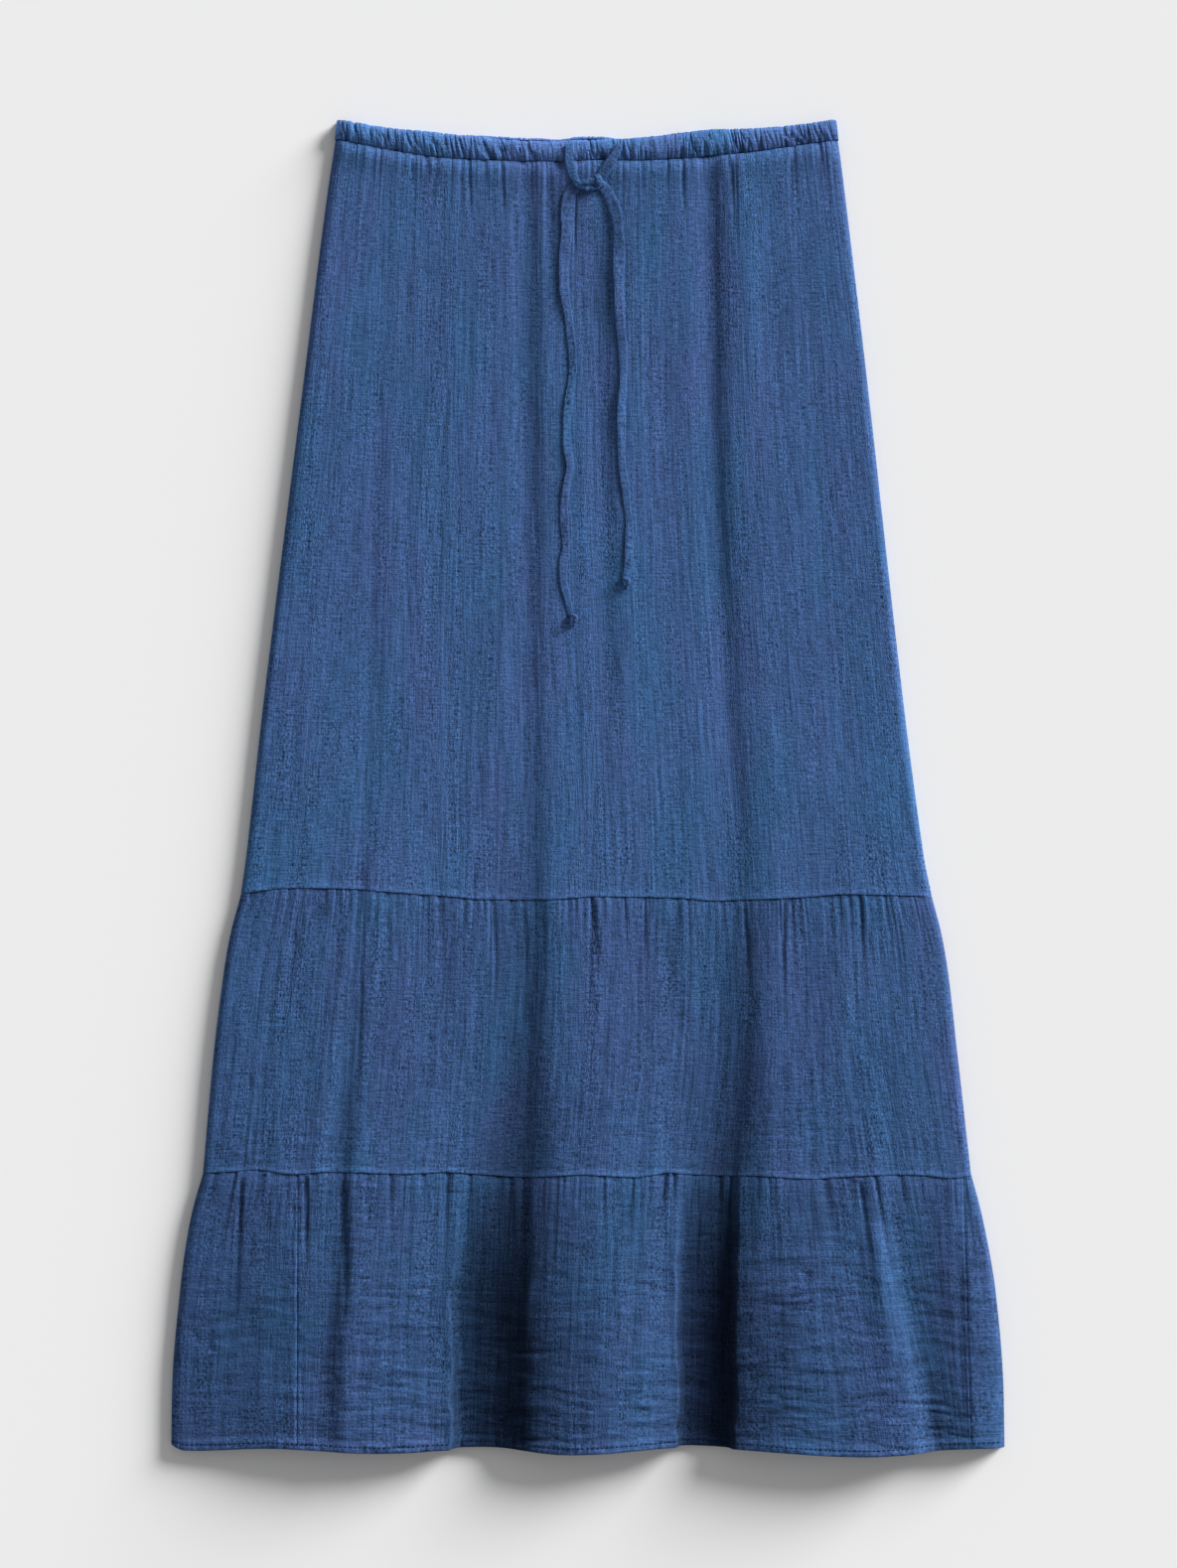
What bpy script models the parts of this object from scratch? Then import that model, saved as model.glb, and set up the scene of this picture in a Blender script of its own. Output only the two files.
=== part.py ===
"""Tiered maxi skirt in crinkled double gauze, laid flat with its front up.

The waist points to +Y, +Z is up and the back panels lie on z = 0. Every size below is in millimetres and
is made metres when a mesh is built. "down" is the distance from the highest point of the waist towards
the hem, and "x" is the distance to the right of the centre line, as seen from above.
"""

import math
from collections import namedtuple

import bmesh
import bpy
from mathutils import Vector

# Driving dimensions, in millimetres
LENGTH = 940.0
WALL = 1.2
SEAM_GAP = 0.3
BAND_HEIGHT = 16.3
BAND_BACK_THICK = 4.0
BAND_FRONT_THICK = 5.6
SIDE_SEAM_Z = 3.0
RIM_TOP_Z = 3.9
EDGE_BEND = 1.9
EDGE_BEND_Z = 2.1
EDGE_ROLL = 7.0
RESTING_Z = 7.0
LOWEST_Z = 4.6
GATHER_LOWEST_Z = 3.7
ROLL_SHARE = 0.45
HEM_TURN = 5.0
HEM_STITCH_SINK = 0.45
TIE_THICK = 1.6
TIE_STEP = 6.5

# Gathers counted across the front at the waist and at the top of each lower tier
WAIST_GATHERS = 46
TIER_GATHERS = 48
SHOULDERS = (0.3, 0.7)
SHOULDER_RISE = 0.3
PUFF_REACH = 9.0

# Where the bottom tier's front meets the cloth that wraps round from the back
LEFT_JOIN_X = -204.4
RIGHT_JOIN_TOP_X = 264.0
RIGHT_JOIN_HEM_X = 269.5
LEFT_JOIN_COLUMN = 6
RIGHT_JOIN_COLUMN = 47
JOIN_SINK = 0.5
JOIN_SLOPE = 1.6

# The two side edges of each tier
Edge = namedtuple("Edge", "down left right")
UPPER_EDGES = [
    Edge(0.0, -175.5, 173.2),
    Edge(17.5, -178.6, 176.8),
    Edge(69.3, -186.2, 183.4),
    Edge(181.0, -200.2, 196.7),
    Edge(405.0, -228.2, 221.9),
    Edge(517.0, -240.8, 236.6),
    Edge(547.0, -245.0, 242.5),
]
MIDDLE_EDGES = [
    Edge(547.0, -245.0, 242.5),
    Edge(573.0, -252.0, 249.2),
    Edge(601.0, -256.9, 254.1),
    Edge(657.0, -263.9, 260.5),
    Edge(743.0, -271.6, 270.2),
]
BOTTOM_EDGES = [
    Edge(743.0, -271.6, 270.2),
    Edge(769.0, -279.0, 277.2),
    Edge(797.0, -284.2, 283.0),
    Edge(825.0, -287.7, 287.5),
    Edge(881.0, -292.8, 292.6),
    Edge(940.0, -294.0, 294.0),
]

# Lines that run across the skirt
Cross = namedtuple("Cross", "x down")
WAIST_LINE = [
    Cross(-176.0, 0.6),
    Cross(-134.0, 6.3),
    Cross(-71.0, 10.8),
    Cross(-19.0, 13.0),
    Cross(34.0, 11.9),
    Cross(76.0, 8.0),
    Cross(128.0, 5.2),
    Cross(174.0, 0.0),
]
SEAM_1 = [
    Cross(-246.0, 545.5),
    Cross(-220.0, 542.0),
    Cross(-150.0, 542.3),
    Cross(-38.0, 549.3),
    Cross(20.0, 547.2),
    Cross(90.0, 549.8),
    Cross(180.0, 546.2),
    Cross(243.0, 547.5),
]
SEAM_2 = [
    Cross(-272.0, 742.7),
    Cross(-190.0, 742.0),
    Cross(-120.0, 741.5),
    Cross(-45.0, 744.6),
    Cross(60.0, 742.6),
    Cross(150.0, 745.0),
    Cross(230.0, 743.6),
    Cross(271.0, 742.6),
]
HEM_LINE = [
    Cross(-294.0, 934.0),
    Cross(-284.0, 937.8),
    Cross(-220.0, 935.3),
    Cross(-145.0, 938.2),
    Cross(-67.0, 935.4),
    Cross(-15.0, 939.0),
    Cross(72.0, 934.6),
    Cross(190.0, 940.0),
    Cross(255.0, 936.6),
    Cross(294.0, 935.6),
]

# Long folds that run down the front: where each valley lies, how deep it is, and how far its two sides reach
Valley = namedtuple("Valley", "level outer_left inner_left inner_right outer_right")
VALLEY_X = [
    Valley(0.0, -138.0, -38.0, 88.0, 150.0),
    Valley(230.0, -146.0, -38.0, 91.0, 168.0),
    Valley(547.0, -157.5, -36.0, 112.0, 192.0),
    Valley(657.0, -164.0, -39.0, 112.0, 200.0),
    Valley(743.0, -172.0, -44.0, 103.0, 216.0),
    Valley(840.0, -178.0, -47.0, 101.0, 234.0),
    Valley(940.0, -181.0, -50.0, 100.0, 254.0),
]
VALLEY_DEPTH = [
    Valley(0.0, 0.5, 1.6, 2.0, 0.0),
    Valley(230.0, 0.8, 2.2, 2.4, 0.0),
    Valley(547.0, 1.0, 2.2, 2.4, 0.6),
    Valley(657.0, 1.4, 3.4, 3.6, 0.8),
    Valley(743.0, 2.2, 4.6, 5.0, 3.0),
    Valley(840.0, 3.4, 8.2, 12.0, 5.0),
    Valley(940.0, 3.8, 10.4, 16.0, 6.0),
]
Reach = namedtuple("Reach", "left right")
VALLEY_REACH = Valley("reach", Reach(16.0, 9.0), Reach(46.0, 11.0), Reach(40.0, 9.0), Reach(34.0, 26.0))

# Heights of the front along the hem, and the share of that lift that each level keeps
Crown = namedtuple("Crown", "x z")
HEM_CROWN = [
    Crown(-294.0, 6.0),
    Crown(-240.0, 7.4),
    Crown(-180.0, 9.5),
    Crown(-100.0, 15.0),
    Crown(-20.0, 18.5),
    Crown(60.0, 19.5),
    Crown(120.0, 23.0),
    Crown(180.0, 24.5),
    Crown(225.0, 20.0),
    Crown(268.0, 12.5),
    Crown(294.0, 7.0),
]
Share = namedtuple("Share", "down lift")
CROWN_SHARE = [
    Share(0.0, 0.0),
    Share(230.0, 0.08),
    Share(547.0, 0.12),
    Share(657.0, 0.28),
    Share(743.0, 0.34),
    Share(840.0, 0.78),
    Share(940.0, 1.0),
]

# Gathers that reach further down than their neighbours: the gather's number and how far it shows
Crease = namedtuple("Crease", "gather depth reach")
WAIST_CREASES = [Crease(12, 2.0, 40.0), Crease(15, 1.9, 28.0), Crease(19, 2.0, 60.0), Crease(31, 2.0, 36.0),
                 Crease(36, 2.2, 70.0), Crease(41, 1.8, 24.0)]
MIDDLE_CREASES = [Crease(9, 2.2, 95.0), Crease(17, 1.9, 60.0), Crease(24, 2.1, 52.0), Crease(34, 2.2, 80.0),
                  Crease(37, 1.9, 46.0), Crease(43, 1.7, 30.0)]
BOTTOM_CREASES = [Crease(3, 2.0, 58.0), Crease(7, 2.3, 54.0), Crease(9, 2.2, 70.0), Crease(20, 2.2, 60.0),
                  Crease(34, 2.2, 60.0), Crease(39, 2.0, 36.0), Crease(42, 2.2, 62.0)]

# The tie: two legs out of the casing, a knot, two tails and a small knot at the end of each
Stop = namedtuple("Stop", "x down width")
LEFT_LEG = [Stop(-13.3, 19.8, 5.6), Stop(-13.2, 26.0, 6.4), Stop(-12.2, 32.0, 6.4), Stop(-9.8, 40.0, 6.0),
            Stop(-5.0, 44.5, 5.0)]
RIGHT_LEG = [Stop(22.6, 17.4, 3.0), Stop(19.8, 22.5, 6.0), Stop(16.0, 29.0, 7.2), Stop(11.5, 35.5, 7.6),
             Stop(7.0, 41.0, 7.0), Stop(2.0, 44.0, 6.0)]
LEFT_TAIL = [
    Stop(-7.0, 46.0, 8.0),
    Stop(-12.0, 50.5, 9.4),
    Stop(-13.9, 60.0, 10.0),
    Stop(-14.7, 75.6, 8.8),
    Stop(-16.8, 100.8, 7.4),
    Stop(-16.4, 121.8, 6.8),
    Stop(-13.7, 138.6, 6.4),
    Stop(-12.2, 152.0, 6.0),
    Stop(-10.6, 175.7, 6.0),
    Stop(-14.5, 207.2, 6.0),
    Stop(-14.6, 229.0, 6.0),
    Stop(-12.3, 243.6, 6.0),
    Stop(-14.9, 257.0, 6.0),
    Stop(-16.8, 272.0, 6.0),
    Stop(-16.2, 289.0, 6.0),
    Stop(-15.4, 300.3, 6.0),
    Stop(-17.5, 314.0, 6.0),
    Stop(-17.0, 327.0, 5.6),
    Stop(-14.4, 338.0, 5.0),
    Stop(-11.8, 347.5, 4.2),
]
RIGHT_TAIL = [
    Stop(7.0, 43.5, 7.0),
    Stop(12.6, 49.2, 7.6),
    Stop(17.4, 58.8, 8.2),
    Stop(20.3, 70.0, 8.4),
    Stop(21.7, 88.2, 8.2),
    Stop(21.8, 110.6, 7.4),
    Stop(22.4, 138.6, 6.8),
    Stop(24.6, 163.1, 6.4),
    Stop(25.0, 186.0, 5.6),
    Stop(23.8, 200.0, 6.0),
    Stop(23.6, 220.0, 6.0),
    Stop(23.6, 238.7, 5.6),
    Stop(25.4, 252.0, 5.6),
    Stop(27.6, 270.0, 5.6),
    Stop(29.2, 286.0, 5.6),
    Stop(28.9, 303.0, 6.4),
    Stop(28.4, 314.0, 6.0),
    Stop(26.8, 321.0, 4.6),
]
Lump = namedtuple("Lump", "x down across along high")
TIE_KNOT = Lump(0.4, 45.0, 9.0, 5.2, 4.0)
LEFT_TIP = Lump(-11.2, 353.0, 3.4, 5.2, 2.7)
RIGHT_TIP = Lump(25.6, 327.0, 3.4, 5.2, 2.7)

# The photo's colours, as linear values
GAUZE_BLUE = (0.037, 0.083, 0.193, 1.0)
BAND_BLUE = (0.033, 0.074, 0.172, 1.0)
TIE_BLUE = (0.041, 0.090, 0.205, 1.0)


def between(rows, at, column, key="down"):
    """The smooth curve through a table's column, read at one value of its key."""
    keys = [getattr(row, key) for row in rows]
    values = [getattr(row, column) for row in rows]
    at = min(max(at, keys[0]), keys[-1])
    index = 0
    while index < len(keys) - 2 and at > keys[index + 1]:
        index += 1

    def slope(i):
        low, high = max(i - 1, 0), min(i + 1, len(keys) - 1)
        return (values[high] - values[low]) / (keys[high] - keys[low])

    span = keys[index + 1] - keys[index]
    t = (at - keys[index]) / span
    start = (2 * t**3 - 3 * t**2 + 1) * values[index] + (t**3 - 2 * t**2 + t) * span * slope(index)
    end = (3 * t**2 - 2 * t**3) * values[index + 1] + (t**3 - t**2) * span * slope(index + 1)
    return start + end


def across(line, x):
    """How far down a line that crosses the skirt is at x."""
    return between(line, x, "down", "x")


def side_edges(down):
    """The left and right edge of the whole skirt at one level."""
    if down < UPPER_EDGES[-1].down:
        rows = UPPER_EDGES
    elif down < MIDDLE_EDGES[-1].down:
        rows = MIDDLE_EDGES
    else:
        rows = BOTTOM_EDGES
    return between(rows, down, "left"), between(rows, down, "right")


def fold_valleys(down):
    """Where the four long folds lie at one level, from left to right."""
    return [between(VALLEY_X, down, name, "level") for name in Valley._fields[1:]]


def front_height(x, down):
    """The outer face of the front without its gathers: the lift over the hem, less the long valleys."""
    crown = between(HEM_CROWN, x, "z", "x")
    height = RESTING_Z + (crown - RESTING_Z) * between(CROWN_SHARE, down, "lift")
    for name, valley in zip(Valley._fields[1:], fold_valleys(down)):
        reach = getattr(VALLEY_REACH, name)
        away = (valley - x) / reach.left if x < valley else (x - valley) / reach.right
        dip = 1 - math.sin(min(away, 1.0) * math.pi / 2)
        height -= between(VALLEY_DEPTH, down, name, "level") * dip
    height = max(height, LOWEST_Z)
    left, right = side_edges(down)
    inside = min(max(min(x - left, right - x), 0.0) / EDGE_ROLL, 1.0)
    return RIM_TOP_Z + (height - RIM_TOP_Z) * math.sqrt(1 - (1 - inside) ** 2)


def uneven(number, stride):
    """A steady, uneven value from -1 to 1 for gather number so-and-so."""
    return math.sin(number * stride) * 0.62 + math.sin(number * stride * 2.31 + 1.7) * 0.38


class Gathers:
    """The gathers along one seam: a column for each, held to the lines in posts where those run down."""

    def __init__(self, count, posts, post_columns, creases, depth, reach):
        self.count = count
        self.posts = posts
        self.post_columns = post_columns
        self.depths = [depth * (1 + 0.35 * uneven(k, 1.9)) for k in range(count + 1)]
        self.reaches = [reach * (1 + 0.5 * uneven(k, 2.7)) for k in range(count + 1)]
        for crease in creases:
            self.depths[crease.gather] = crease.depth
            self.reaches[crease.gather] = crease.reach

    def x(self, column, down):
        """Where a column lies at one level, unevenly spaced between the posts on either side of it."""
        posts = self.posts(down)
        span = 0
        while span < len(posts) - 2 and column > self.post_columns[span + 1]:
            span += 1
        first, last = self.post_columns[span], self.post_columns[span + 1]
        share = (column - first) / (last - first)
        share += 0.3 * uneven(column, 1.3) * share * (1 - share) / (last - first) ** 0.5
        return posts[span] + (posts[span + 1] - posts[span]) * share

    def relief(self, column, from_seam):
        """How far a column stands above or below the smooth front, this far from its seam."""
        if column == int(column):
            gather = int(column)
            return -self.depths[gather] * math.exp(-((from_seam / self.reaches[gather]) ** 2))
        return SHOULDER_RISE * self.depths[int(column)] * math.exp(-from_seam / self.reaches[int(column)])

    def columns(self, fine, first=0, last=None):
        """Column numbers: each gather's valley and, in a fine row, the two shoulders after it."""
        last = self.count if last is None else last
        steps = (0.0, *SHOULDERS) if fine else (0.0,)
        return [k + step for k in range(first, last) for step in steps] + [last]


def panel_posts(down):
    """The lines that the upper panels' and middle tier's columns follow."""
    left, right = side_edges(down)
    return [left, *fold_valleys(down), right]


def tier_posts(down):
    """The same for the bottom tier, with its two joins."""
    left, *valleys, right = panel_posts(down)
    return [left, LEFT_JOIN_X, *valleys, right_join(down), right]


def right_join(down):
    """Where the bottom tier's right join lies at one level."""
    share = (down - BOTTOM_EDGES[0].down) / (LENGTH - BOTTOM_EDGES[0].down)
    return RIGHT_JOIN_TOP_X + (RIGHT_JOIN_HEM_X - RIGHT_JOIN_TOP_X) * share


WAIST = Gathers(WAIST_GATHERS, panel_posts, [0, 6, 18, 34, 42, 46], WAIST_CREASES, 1.3, 20.0)
MIDDLE = Gathers(TIER_GATHERS, panel_posts, [0, 9, 20, 34, 42, 48], MIDDLE_CREASES, 1.3, 24.0)
BOTTOM = Gathers(TIER_GATHERS, tier_posts, [0, LEFT_JOIN_COLUMN, 9, 20, 34, 43, RIGHT_JOIN_COLUMN, 48],
                 BOTTOM_CREASES, 1.5, 26.0)


def world(x, down, z):
    """A point of the skirt in metres, with the origin under the middle of its box."""
    return Vector((x, LENGTH / 2 - down, z)) / 1000


def colour(name, rgba, roughness):
    """A plain cloth material."""
    material = bpy.data.materials.new(name)
    material.use_nodes = True
    shader = material.node_tree.nodes["Principled BSDF"]
    shader.inputs["Base Color"].default_value = rgba
    shader.inputs["Roughness"].default_value = roughness
    shader.inputs["Metallic"].default_value = 0.0
    return material


def add_object(name, mesh_builder, rgba, roughness=0.9):
    """One named piece of the skirt in the skirt's collection."""
    mesh = bpy.data.meshes.new(name)
    mesh_builder.to_mesh(mesh)
    mesh_builder.free()
    mesh.shade_smooth()
    piece = bpy.data.objects.new(name, mesh)
    piece.data.materials.append(colour(f"{name}_cloth", rgba, roughness))
    SKIRT.objects.link(piece)
    return piece


def join_rows(builder, upper, lower):
    """Faces between two rows of (column, vertex), stepping along whichever row's next column comes first."""
    i = j = 0
    while i < len(upper) - 1 or j < len(lower) - 1:
        next_upper = upper[i + 1][0] if i < len(upper) - 1 else math.inf
        next_lower = lower[j + 1][0] if j < len(lower) - 1 else math.inf
        corners = [upper[i][1], lower[j][1]]
        if next_lower <= next_upper:
            j += 1
            corners.append(lower[j][1])
        if next_upper <= next_lower:
            i += 1
            corners.append(upper[i][1])
        builder.faces.new(corners)


def cloth_wall(name, rows, rgba):
    """A piece of cloth: an open surface through its rows, given its thickness on the inside."""
    builder = bmesh.new()
    placed = [[(point.column, builder.verts.new(world(*point[1:]))) for point in row] for row in rows]
    for upper, lower in zip(placed, placed[1:]):
        join_rows(builder, upper, lower)
    piece = add_object(name, builder, rgba)
    wall = piece.modifiers.new("cloth thickness", "SOLIDIFY")
    wall.thickness = WALL / 1000
    wall.offset = -1.0
    wall.use_even_offset = True
    return piece


def loft(name, rings, rgba):
    """A closed solid through rings of points, capped at both ends."""
    builder = bmesh.new()
    placed = [[builder.verts.new(world(*point)) for point in ring] for ring in rings]
    sides = len(placed[0])
    for near, far in zip(placed, placed[1:]):
        for side in range(sides):
            after = (side + 1) % sides
            builder.faces.new((near[side], near[after], far[after], far[side]))
    builder.faces.new(list(reversed(placed[0])))
    builder.faces.new(placed[-1])
    bmesh.ops.recalc_face_normals(builder, faces=builder.faces)
    return add_object(name, builder, rgba)


Point = namedtuple("Point", "column x down z")
Piece = namedtuple("Piece", "gathers top bottom height fine_rows plain_rows puff")

UPPER_PIECE = Piece(WAIST, [Cross(row.x, row.down + BAND_HEIGHT) for row in WAIST_LINE], SEAM_1, 518.0,
                    (0.0, 5.0, 13.0, 26.0),
                    (46.0, 90.0, 150.0, 215.0, 290.0, 370.0, 440.0, 495.0, 518.0), 1.6)
MIDDLE_PIECE = Piece(MIDDLE, SEAM_1, SEAM_2, 196.0,
                     (0.0, 5.0, 13.0, 26.0), (48.0, 85.0, 125.0, 165.0, 190.0, 196.0), 1.3)
BOTTOM_PIECE = Piece(BOTTOM, SEAM_2, HEM_LINE, 194.0,
                     (0.0, 5.0, 13.0, 26.0),
                     (46.0, 80.0, 115.0, 150.0, 185.5, 194.0 - HEM_TURN, 194.0), 1.6)


def row_level(piece, x, from_top):
    """How far down a row lies at x, between the piece's upper and lower seams."""
    top = across(piece.top, x) + SEAM_GAP / 2
    bottom = across(piece.bottom, x) - SEAM_GAP / 2
    return top + (bottom - top) * from_top / piece.height


def place(piece, column, from_top):
    """Where a column crosses a row: first near the centre line's level, then at the level found there."""
    x = piece.gathers.x(column, across(piece.top, 0.0) + from_top)
    x = piece.gathers.x(column, row_level(piece, x, from_top))
    return x, row_level(piece, x, from_top)


def front_point(piece, column, from_top):
    """One point of a front panel's outer face: the long folds, the puff below its seam, and its gathers."""
    gathers = piece.gathers
    x, down = place(piece, column, from_top)
    from_side = min(column, gathers.count - column, 1.0)
    relief = gathers.relief(column, from_top) - piece.puff * math.exp(-from_top / PUFF_REACH)
    if piece.bottom is HEM_LINE and from_top == piece.height - HEM_TURN:
        relief -= HEM_STITCH_SINK
    return Point(column, x, down, max(front_height(x, down) + relief * from_side, GATHER_LOWEST_Z))


def edge_points(piece, from_top, side):
    """The rounded side edge of the front, from its upright rim inwards: side is -1 for left, 1 for right."""
    column = 0 if side < 0 else piece.gathers.count
    edge = front_point(piece, column, from_top)
    inner = front_point(piece, column - side * SHOULDERS[0], from_top)
    x = edge.x + ROLL_SHARE * (inner.x - edge.x)
    down = row_level(piece, x, from_top)
    return edge, Point(column - side * 0.1, x, down, front_height(x, down))


def front_row(piece, from_top, fine):
    """A whole row of a front panel, from its left side seam to its right one."""
    left, left_roll = edge_points(piece, from_top, -1)
    right, right_roll = edge_points(piece, from_top, 1)
    rim = SIDE_SEAM_Z + SEAM_GAP / 2
    columns = piece.gathers.columns(fine)[1:-1]
    inner = [front_point(piece, column, from_top) for column in columns]
    return [left._replace(column=left.column - 0.5, z=rim), left._replace(z=RIM_TOP_Z), left_roll, *inner,
            right_roll, right._replace(z=RIM_TOP_Z), right._replace(column=right.column + 0.5, z=rim)]


def plain(piece):
    """The same piece with a few even rows and no gathers, for a back that lies flat."""
    return piece._replace(fine_rows=(), plain_rows=tuple(piece.height * share / 4 for share in range(5)))


def piece_rows(piece, make_row):
    """Fine rows where the piece is gathered, then plain ones down to its lower seam."""
    fine = [make_row(piece, from_top, True) for from_top in piece.fine_rows]
    return fine + [make_row(piece, from_top, False) for from_top in piece.plain_rows]


# How a back's row is numbered: its flat underside, one number for each bend, then the far side's columns
UNDERSIDE_FIRST = 60
UNDERSIDE_COLUMNS = 12
FAR_FIRST = 100


def underside(piece, from_top):
    """The flat underside from the right bend to the left one, numbered on from the front's columns."""
    left, left_down = place(piece, 0, from_top)
    right, right_down = place(piece, piece.gathers.count, from_top)
    points = []
    for step in range(UNDERSIDE_COLUMNS + 1):
        x = right - EDGE_BEND + (left - right + 2 * EDGE_BEND) * step / UNDERSIDE_COLUMNS
        points.append(Point(UNDERSIDE_FIRST + step, x, row_level(piece, x, from_top), 0.0))
    right_bend = Point(UNDERSIDE_FIRST - 1, right, right_down, EDGE_BEND_Z)
    left_bend = Point(UNDERSIDE_FIRST + UNDERSIDE_COLUMNS + 1, left, left_down, EDGE_BEND_Z)
    return [right_bend, *points, left_bend]


def back_row(piece, from_top, fine=False):
    """A row of a back panel: flat underneath, and turned up at the sides to meet the front."""
    bends = underside(piece, from_top)
    rim = SIDE_SEAM_Z - SEAM_GAP / 2
    first, last = bends[0], bends[-1]
    return [first._replace(column=first.column - 1, z=rim), *bends,
            last._replace(column=last.column + 1, z=rim)]


def join_points(piece, column, from_top, side):
    """The two points that end a piece at a join of the bottom tier: the sunk seam and the cloth beside it."""
    seam = front_point(piece, column, from_top)
    seam = seam._replace(x=seam.x + side * SEAM_GAP / 2, z=max(seam.z - JOIN_SINK, GATHER_LOWEST_Z))
    x = seam.x + side * JOIN_SLOPE
    down = row_level(piece, x, from_top)
    relief = piece.puff * math.exp(-from_top / PUFF_REACH)
    beside = Point(column + side * 0.05, x, down, front_height(x, down) - relief)
    return (seam, beside) if side > 0 else (beside, seam)


def bottom_front_row(piece, from_top, fine):
    """A row of the bottom tier's front, which lies between the two joins."""
    columns = piece.gathers.columns(fine, LEFT_JOIN_COLUMN, RIGHT_JOIN_COLUMN)[1:-1]
    row = [front_point(piece, column, from_top) for column in columns]
    return [*join_points(piece, LEFT_JOIN_COLUMN, from_top, 1), *row,
            *join_points(piece, RIGHT_JOIN_COLUMN, from_top, -1)]


def bottom_back_row(piece, from_top, fine):
    """A row of the bottom tier's back, which wraps round both sides and ends at the joins on the front."""
    left, left_roll = edge_points(piece, from_top, -1)
    right, right_roll = edge_points(piece, from_top, 1)
    near = [*join_points(piece, RIGHT_JOIN_COLUMN, from_top, 1), right_roll, right._replace(z=RIM_TOP_Z)]
    if from_top > piece.fine_rows[-1]:
        near.insert(2, front_point(piece, RIGHT_JOIN_COLUMN + 0.5, from_top))
    columns = piece.gathers.columns(fine, 0, LEFT_JOIN_COLUMN)[1:-1]
    inner = [front_point(piece, column, from_top) for column in columns]
    join = join_points(piece, LEFT_JOIN_COLUMN, from_top, -1)
    far = [left._replace(z=RIM_TOP_Z), left_roll, *inner, *join]
    far = [point._replace(column=point.column + FAR_FIRST) for point in far]
    return [*near, *underside(piece, from_top), *far]


# Where the back of the band shows above its front, how far, and how wide that stretch is
PEEK_X = -22.0
PEEK_MOST = 2.9
PEEK_REACH = 62.0


def back_peek(x):
    """How far the back of the band shows above its front."""
    return 0.5 * (1 - min(abs(x) / 175.0, 1.0)) + PEEK_MOST * math.exp(-(((x - PEEK_X) / PEEK_REACH) ** 2))


BandPoint = namedtuple("BandPoint", "share z swell")
FRONT_BAND = [
    BandPoint(0.03, 0.0, 0.0),
    BandPoint(0.0, 2.0, 0.2),
    BandPoint(0.16, 4.7, 0.8),
    BandPoint(0.48, 5.6, 1.0),
    BandPoint(0.82, 4.9, 0.9),
    BandPoint(1.0, 2.2, 0.3),
    BandPoint(1.0, 0.0, 0.0),
]
BACK_BAND = [
    BandPoint(0.02, 0.0, 0.0),
    BandPoint(0.0, 2.6, 0.4),
    BandPoint(0.1, 4.0, 0.0),
    BandPoint(0.94, 4.0, 0.0),
    BandPoint(1.0, 2.8, 0.0),
    BandPoint(1.0, 0.0, 0.0),
]


# How the band's gathers look: how deep they pinch, how far the cloth swells between them, how they slant,
# how they scallop the top edge, and how the band thins over the last columns at each end
BAND_PINCH = 0.73
BAND_FULL = 0.15
BAND_SLANT = 0.16
BAND_SCALLOP = 0.5
BAND_END_COLUMNS = 1.5
BAND_END_FALL = 1.6


def band_rings(section, base_z, steps, raise_top):
    """The rings of a gathered band, one for each column: full between gathers and pinched at them."""
    rings = []
    for column in [k + step for k in range(WAIST_GATHERS) for step in steps] + [WAIST_GATHERS]:
        pinch = BAND_PINCH * WAIST.depths[int(column)] if column == int(column) else -BAND_FULL
        taper = min(column, WAIST_GATHERS - column, BAND_END_COLUMNS) / BAND_END_COLUMNS
        ring = []
        for point in section:
            slant = BAND_SLANT * uneven(column, 0.6) * (0.5 - point.share) * taper
            x = WAIST.x(min(max(column + slant, 0), WAIST_GATHERS), BAND_HEIGHT * (1 + point.share) / 2)
            top = across(WAIST_LINE, x) - (back_peek(x) if raise_top else 0.0)
            bottom = across(WAIST_LINE, x) + BAND_HEIGHT - SEAM_GAP / 2
            scallop = BAND_SCALLOP * pinch if point.share < 0.05 else 0.0
            fall = BAND_END_FALL * point.z / BAND_FRONT_THICK * (1 - taper)
            z = base_z + point.z - point.swell * (pinch * taper + fall)
            ring.append((x, top + (bottom - top) * point.share + scallop * taper, z))
        rings.append(ring)
    return rings


def band_top_z(share):
    """The crest height of the front band at a share of its height, without its gathers."""
    front_base = BAND_BACK_THICK + SEAM_GAP
    low, *others = FRONT_BAND
    for high in others:
        if share <= high.share and high.share > low.share:
            return front_base + low.z + (high.z - low.z) * (share - low.share) / (high.share - low.share)
        low = high
    return front_base


def top_of_skirt(x, down):
    """The highest that the skirt's front can stand at one place, gathers included."""
    from_seam = down - across(WAIST_LINE, x) - BAND_HEIGHT
    if from_seam < 0.5:
        return band_top_z(min(max(1 + from_seam / BAND_HEIGHT, 0.1), 1.0)) + BAND_FULL + 0.1
    return front_height(x, down) + SHOULDER_RISE * 1.4 * math.exp(-from_seam / 24.0)


def route(stops, spacing):
    """Evenly spaced points on the smooth curve through a tie's stops, with its width at each."""
    marks = [0.0]
    for near, far in zip(stops, stops[1:]):
        marks.append(marks[-1] + math.hypot(far.x - near.x, far.down - near.down))
    Mark = namedtuple("Mark", "along x down width")
    rows = [Mark(mark, *stop) for mark, stop in zip(marks, stops)]
    count = max(int(marks[-1] / spacing), 3)
    places = [marks[-1] * step / count for step in range(count + 1)]
    return [Stop(*(between(rows, place, name, "along") for name in Stop._fields)) for place in places]


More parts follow.
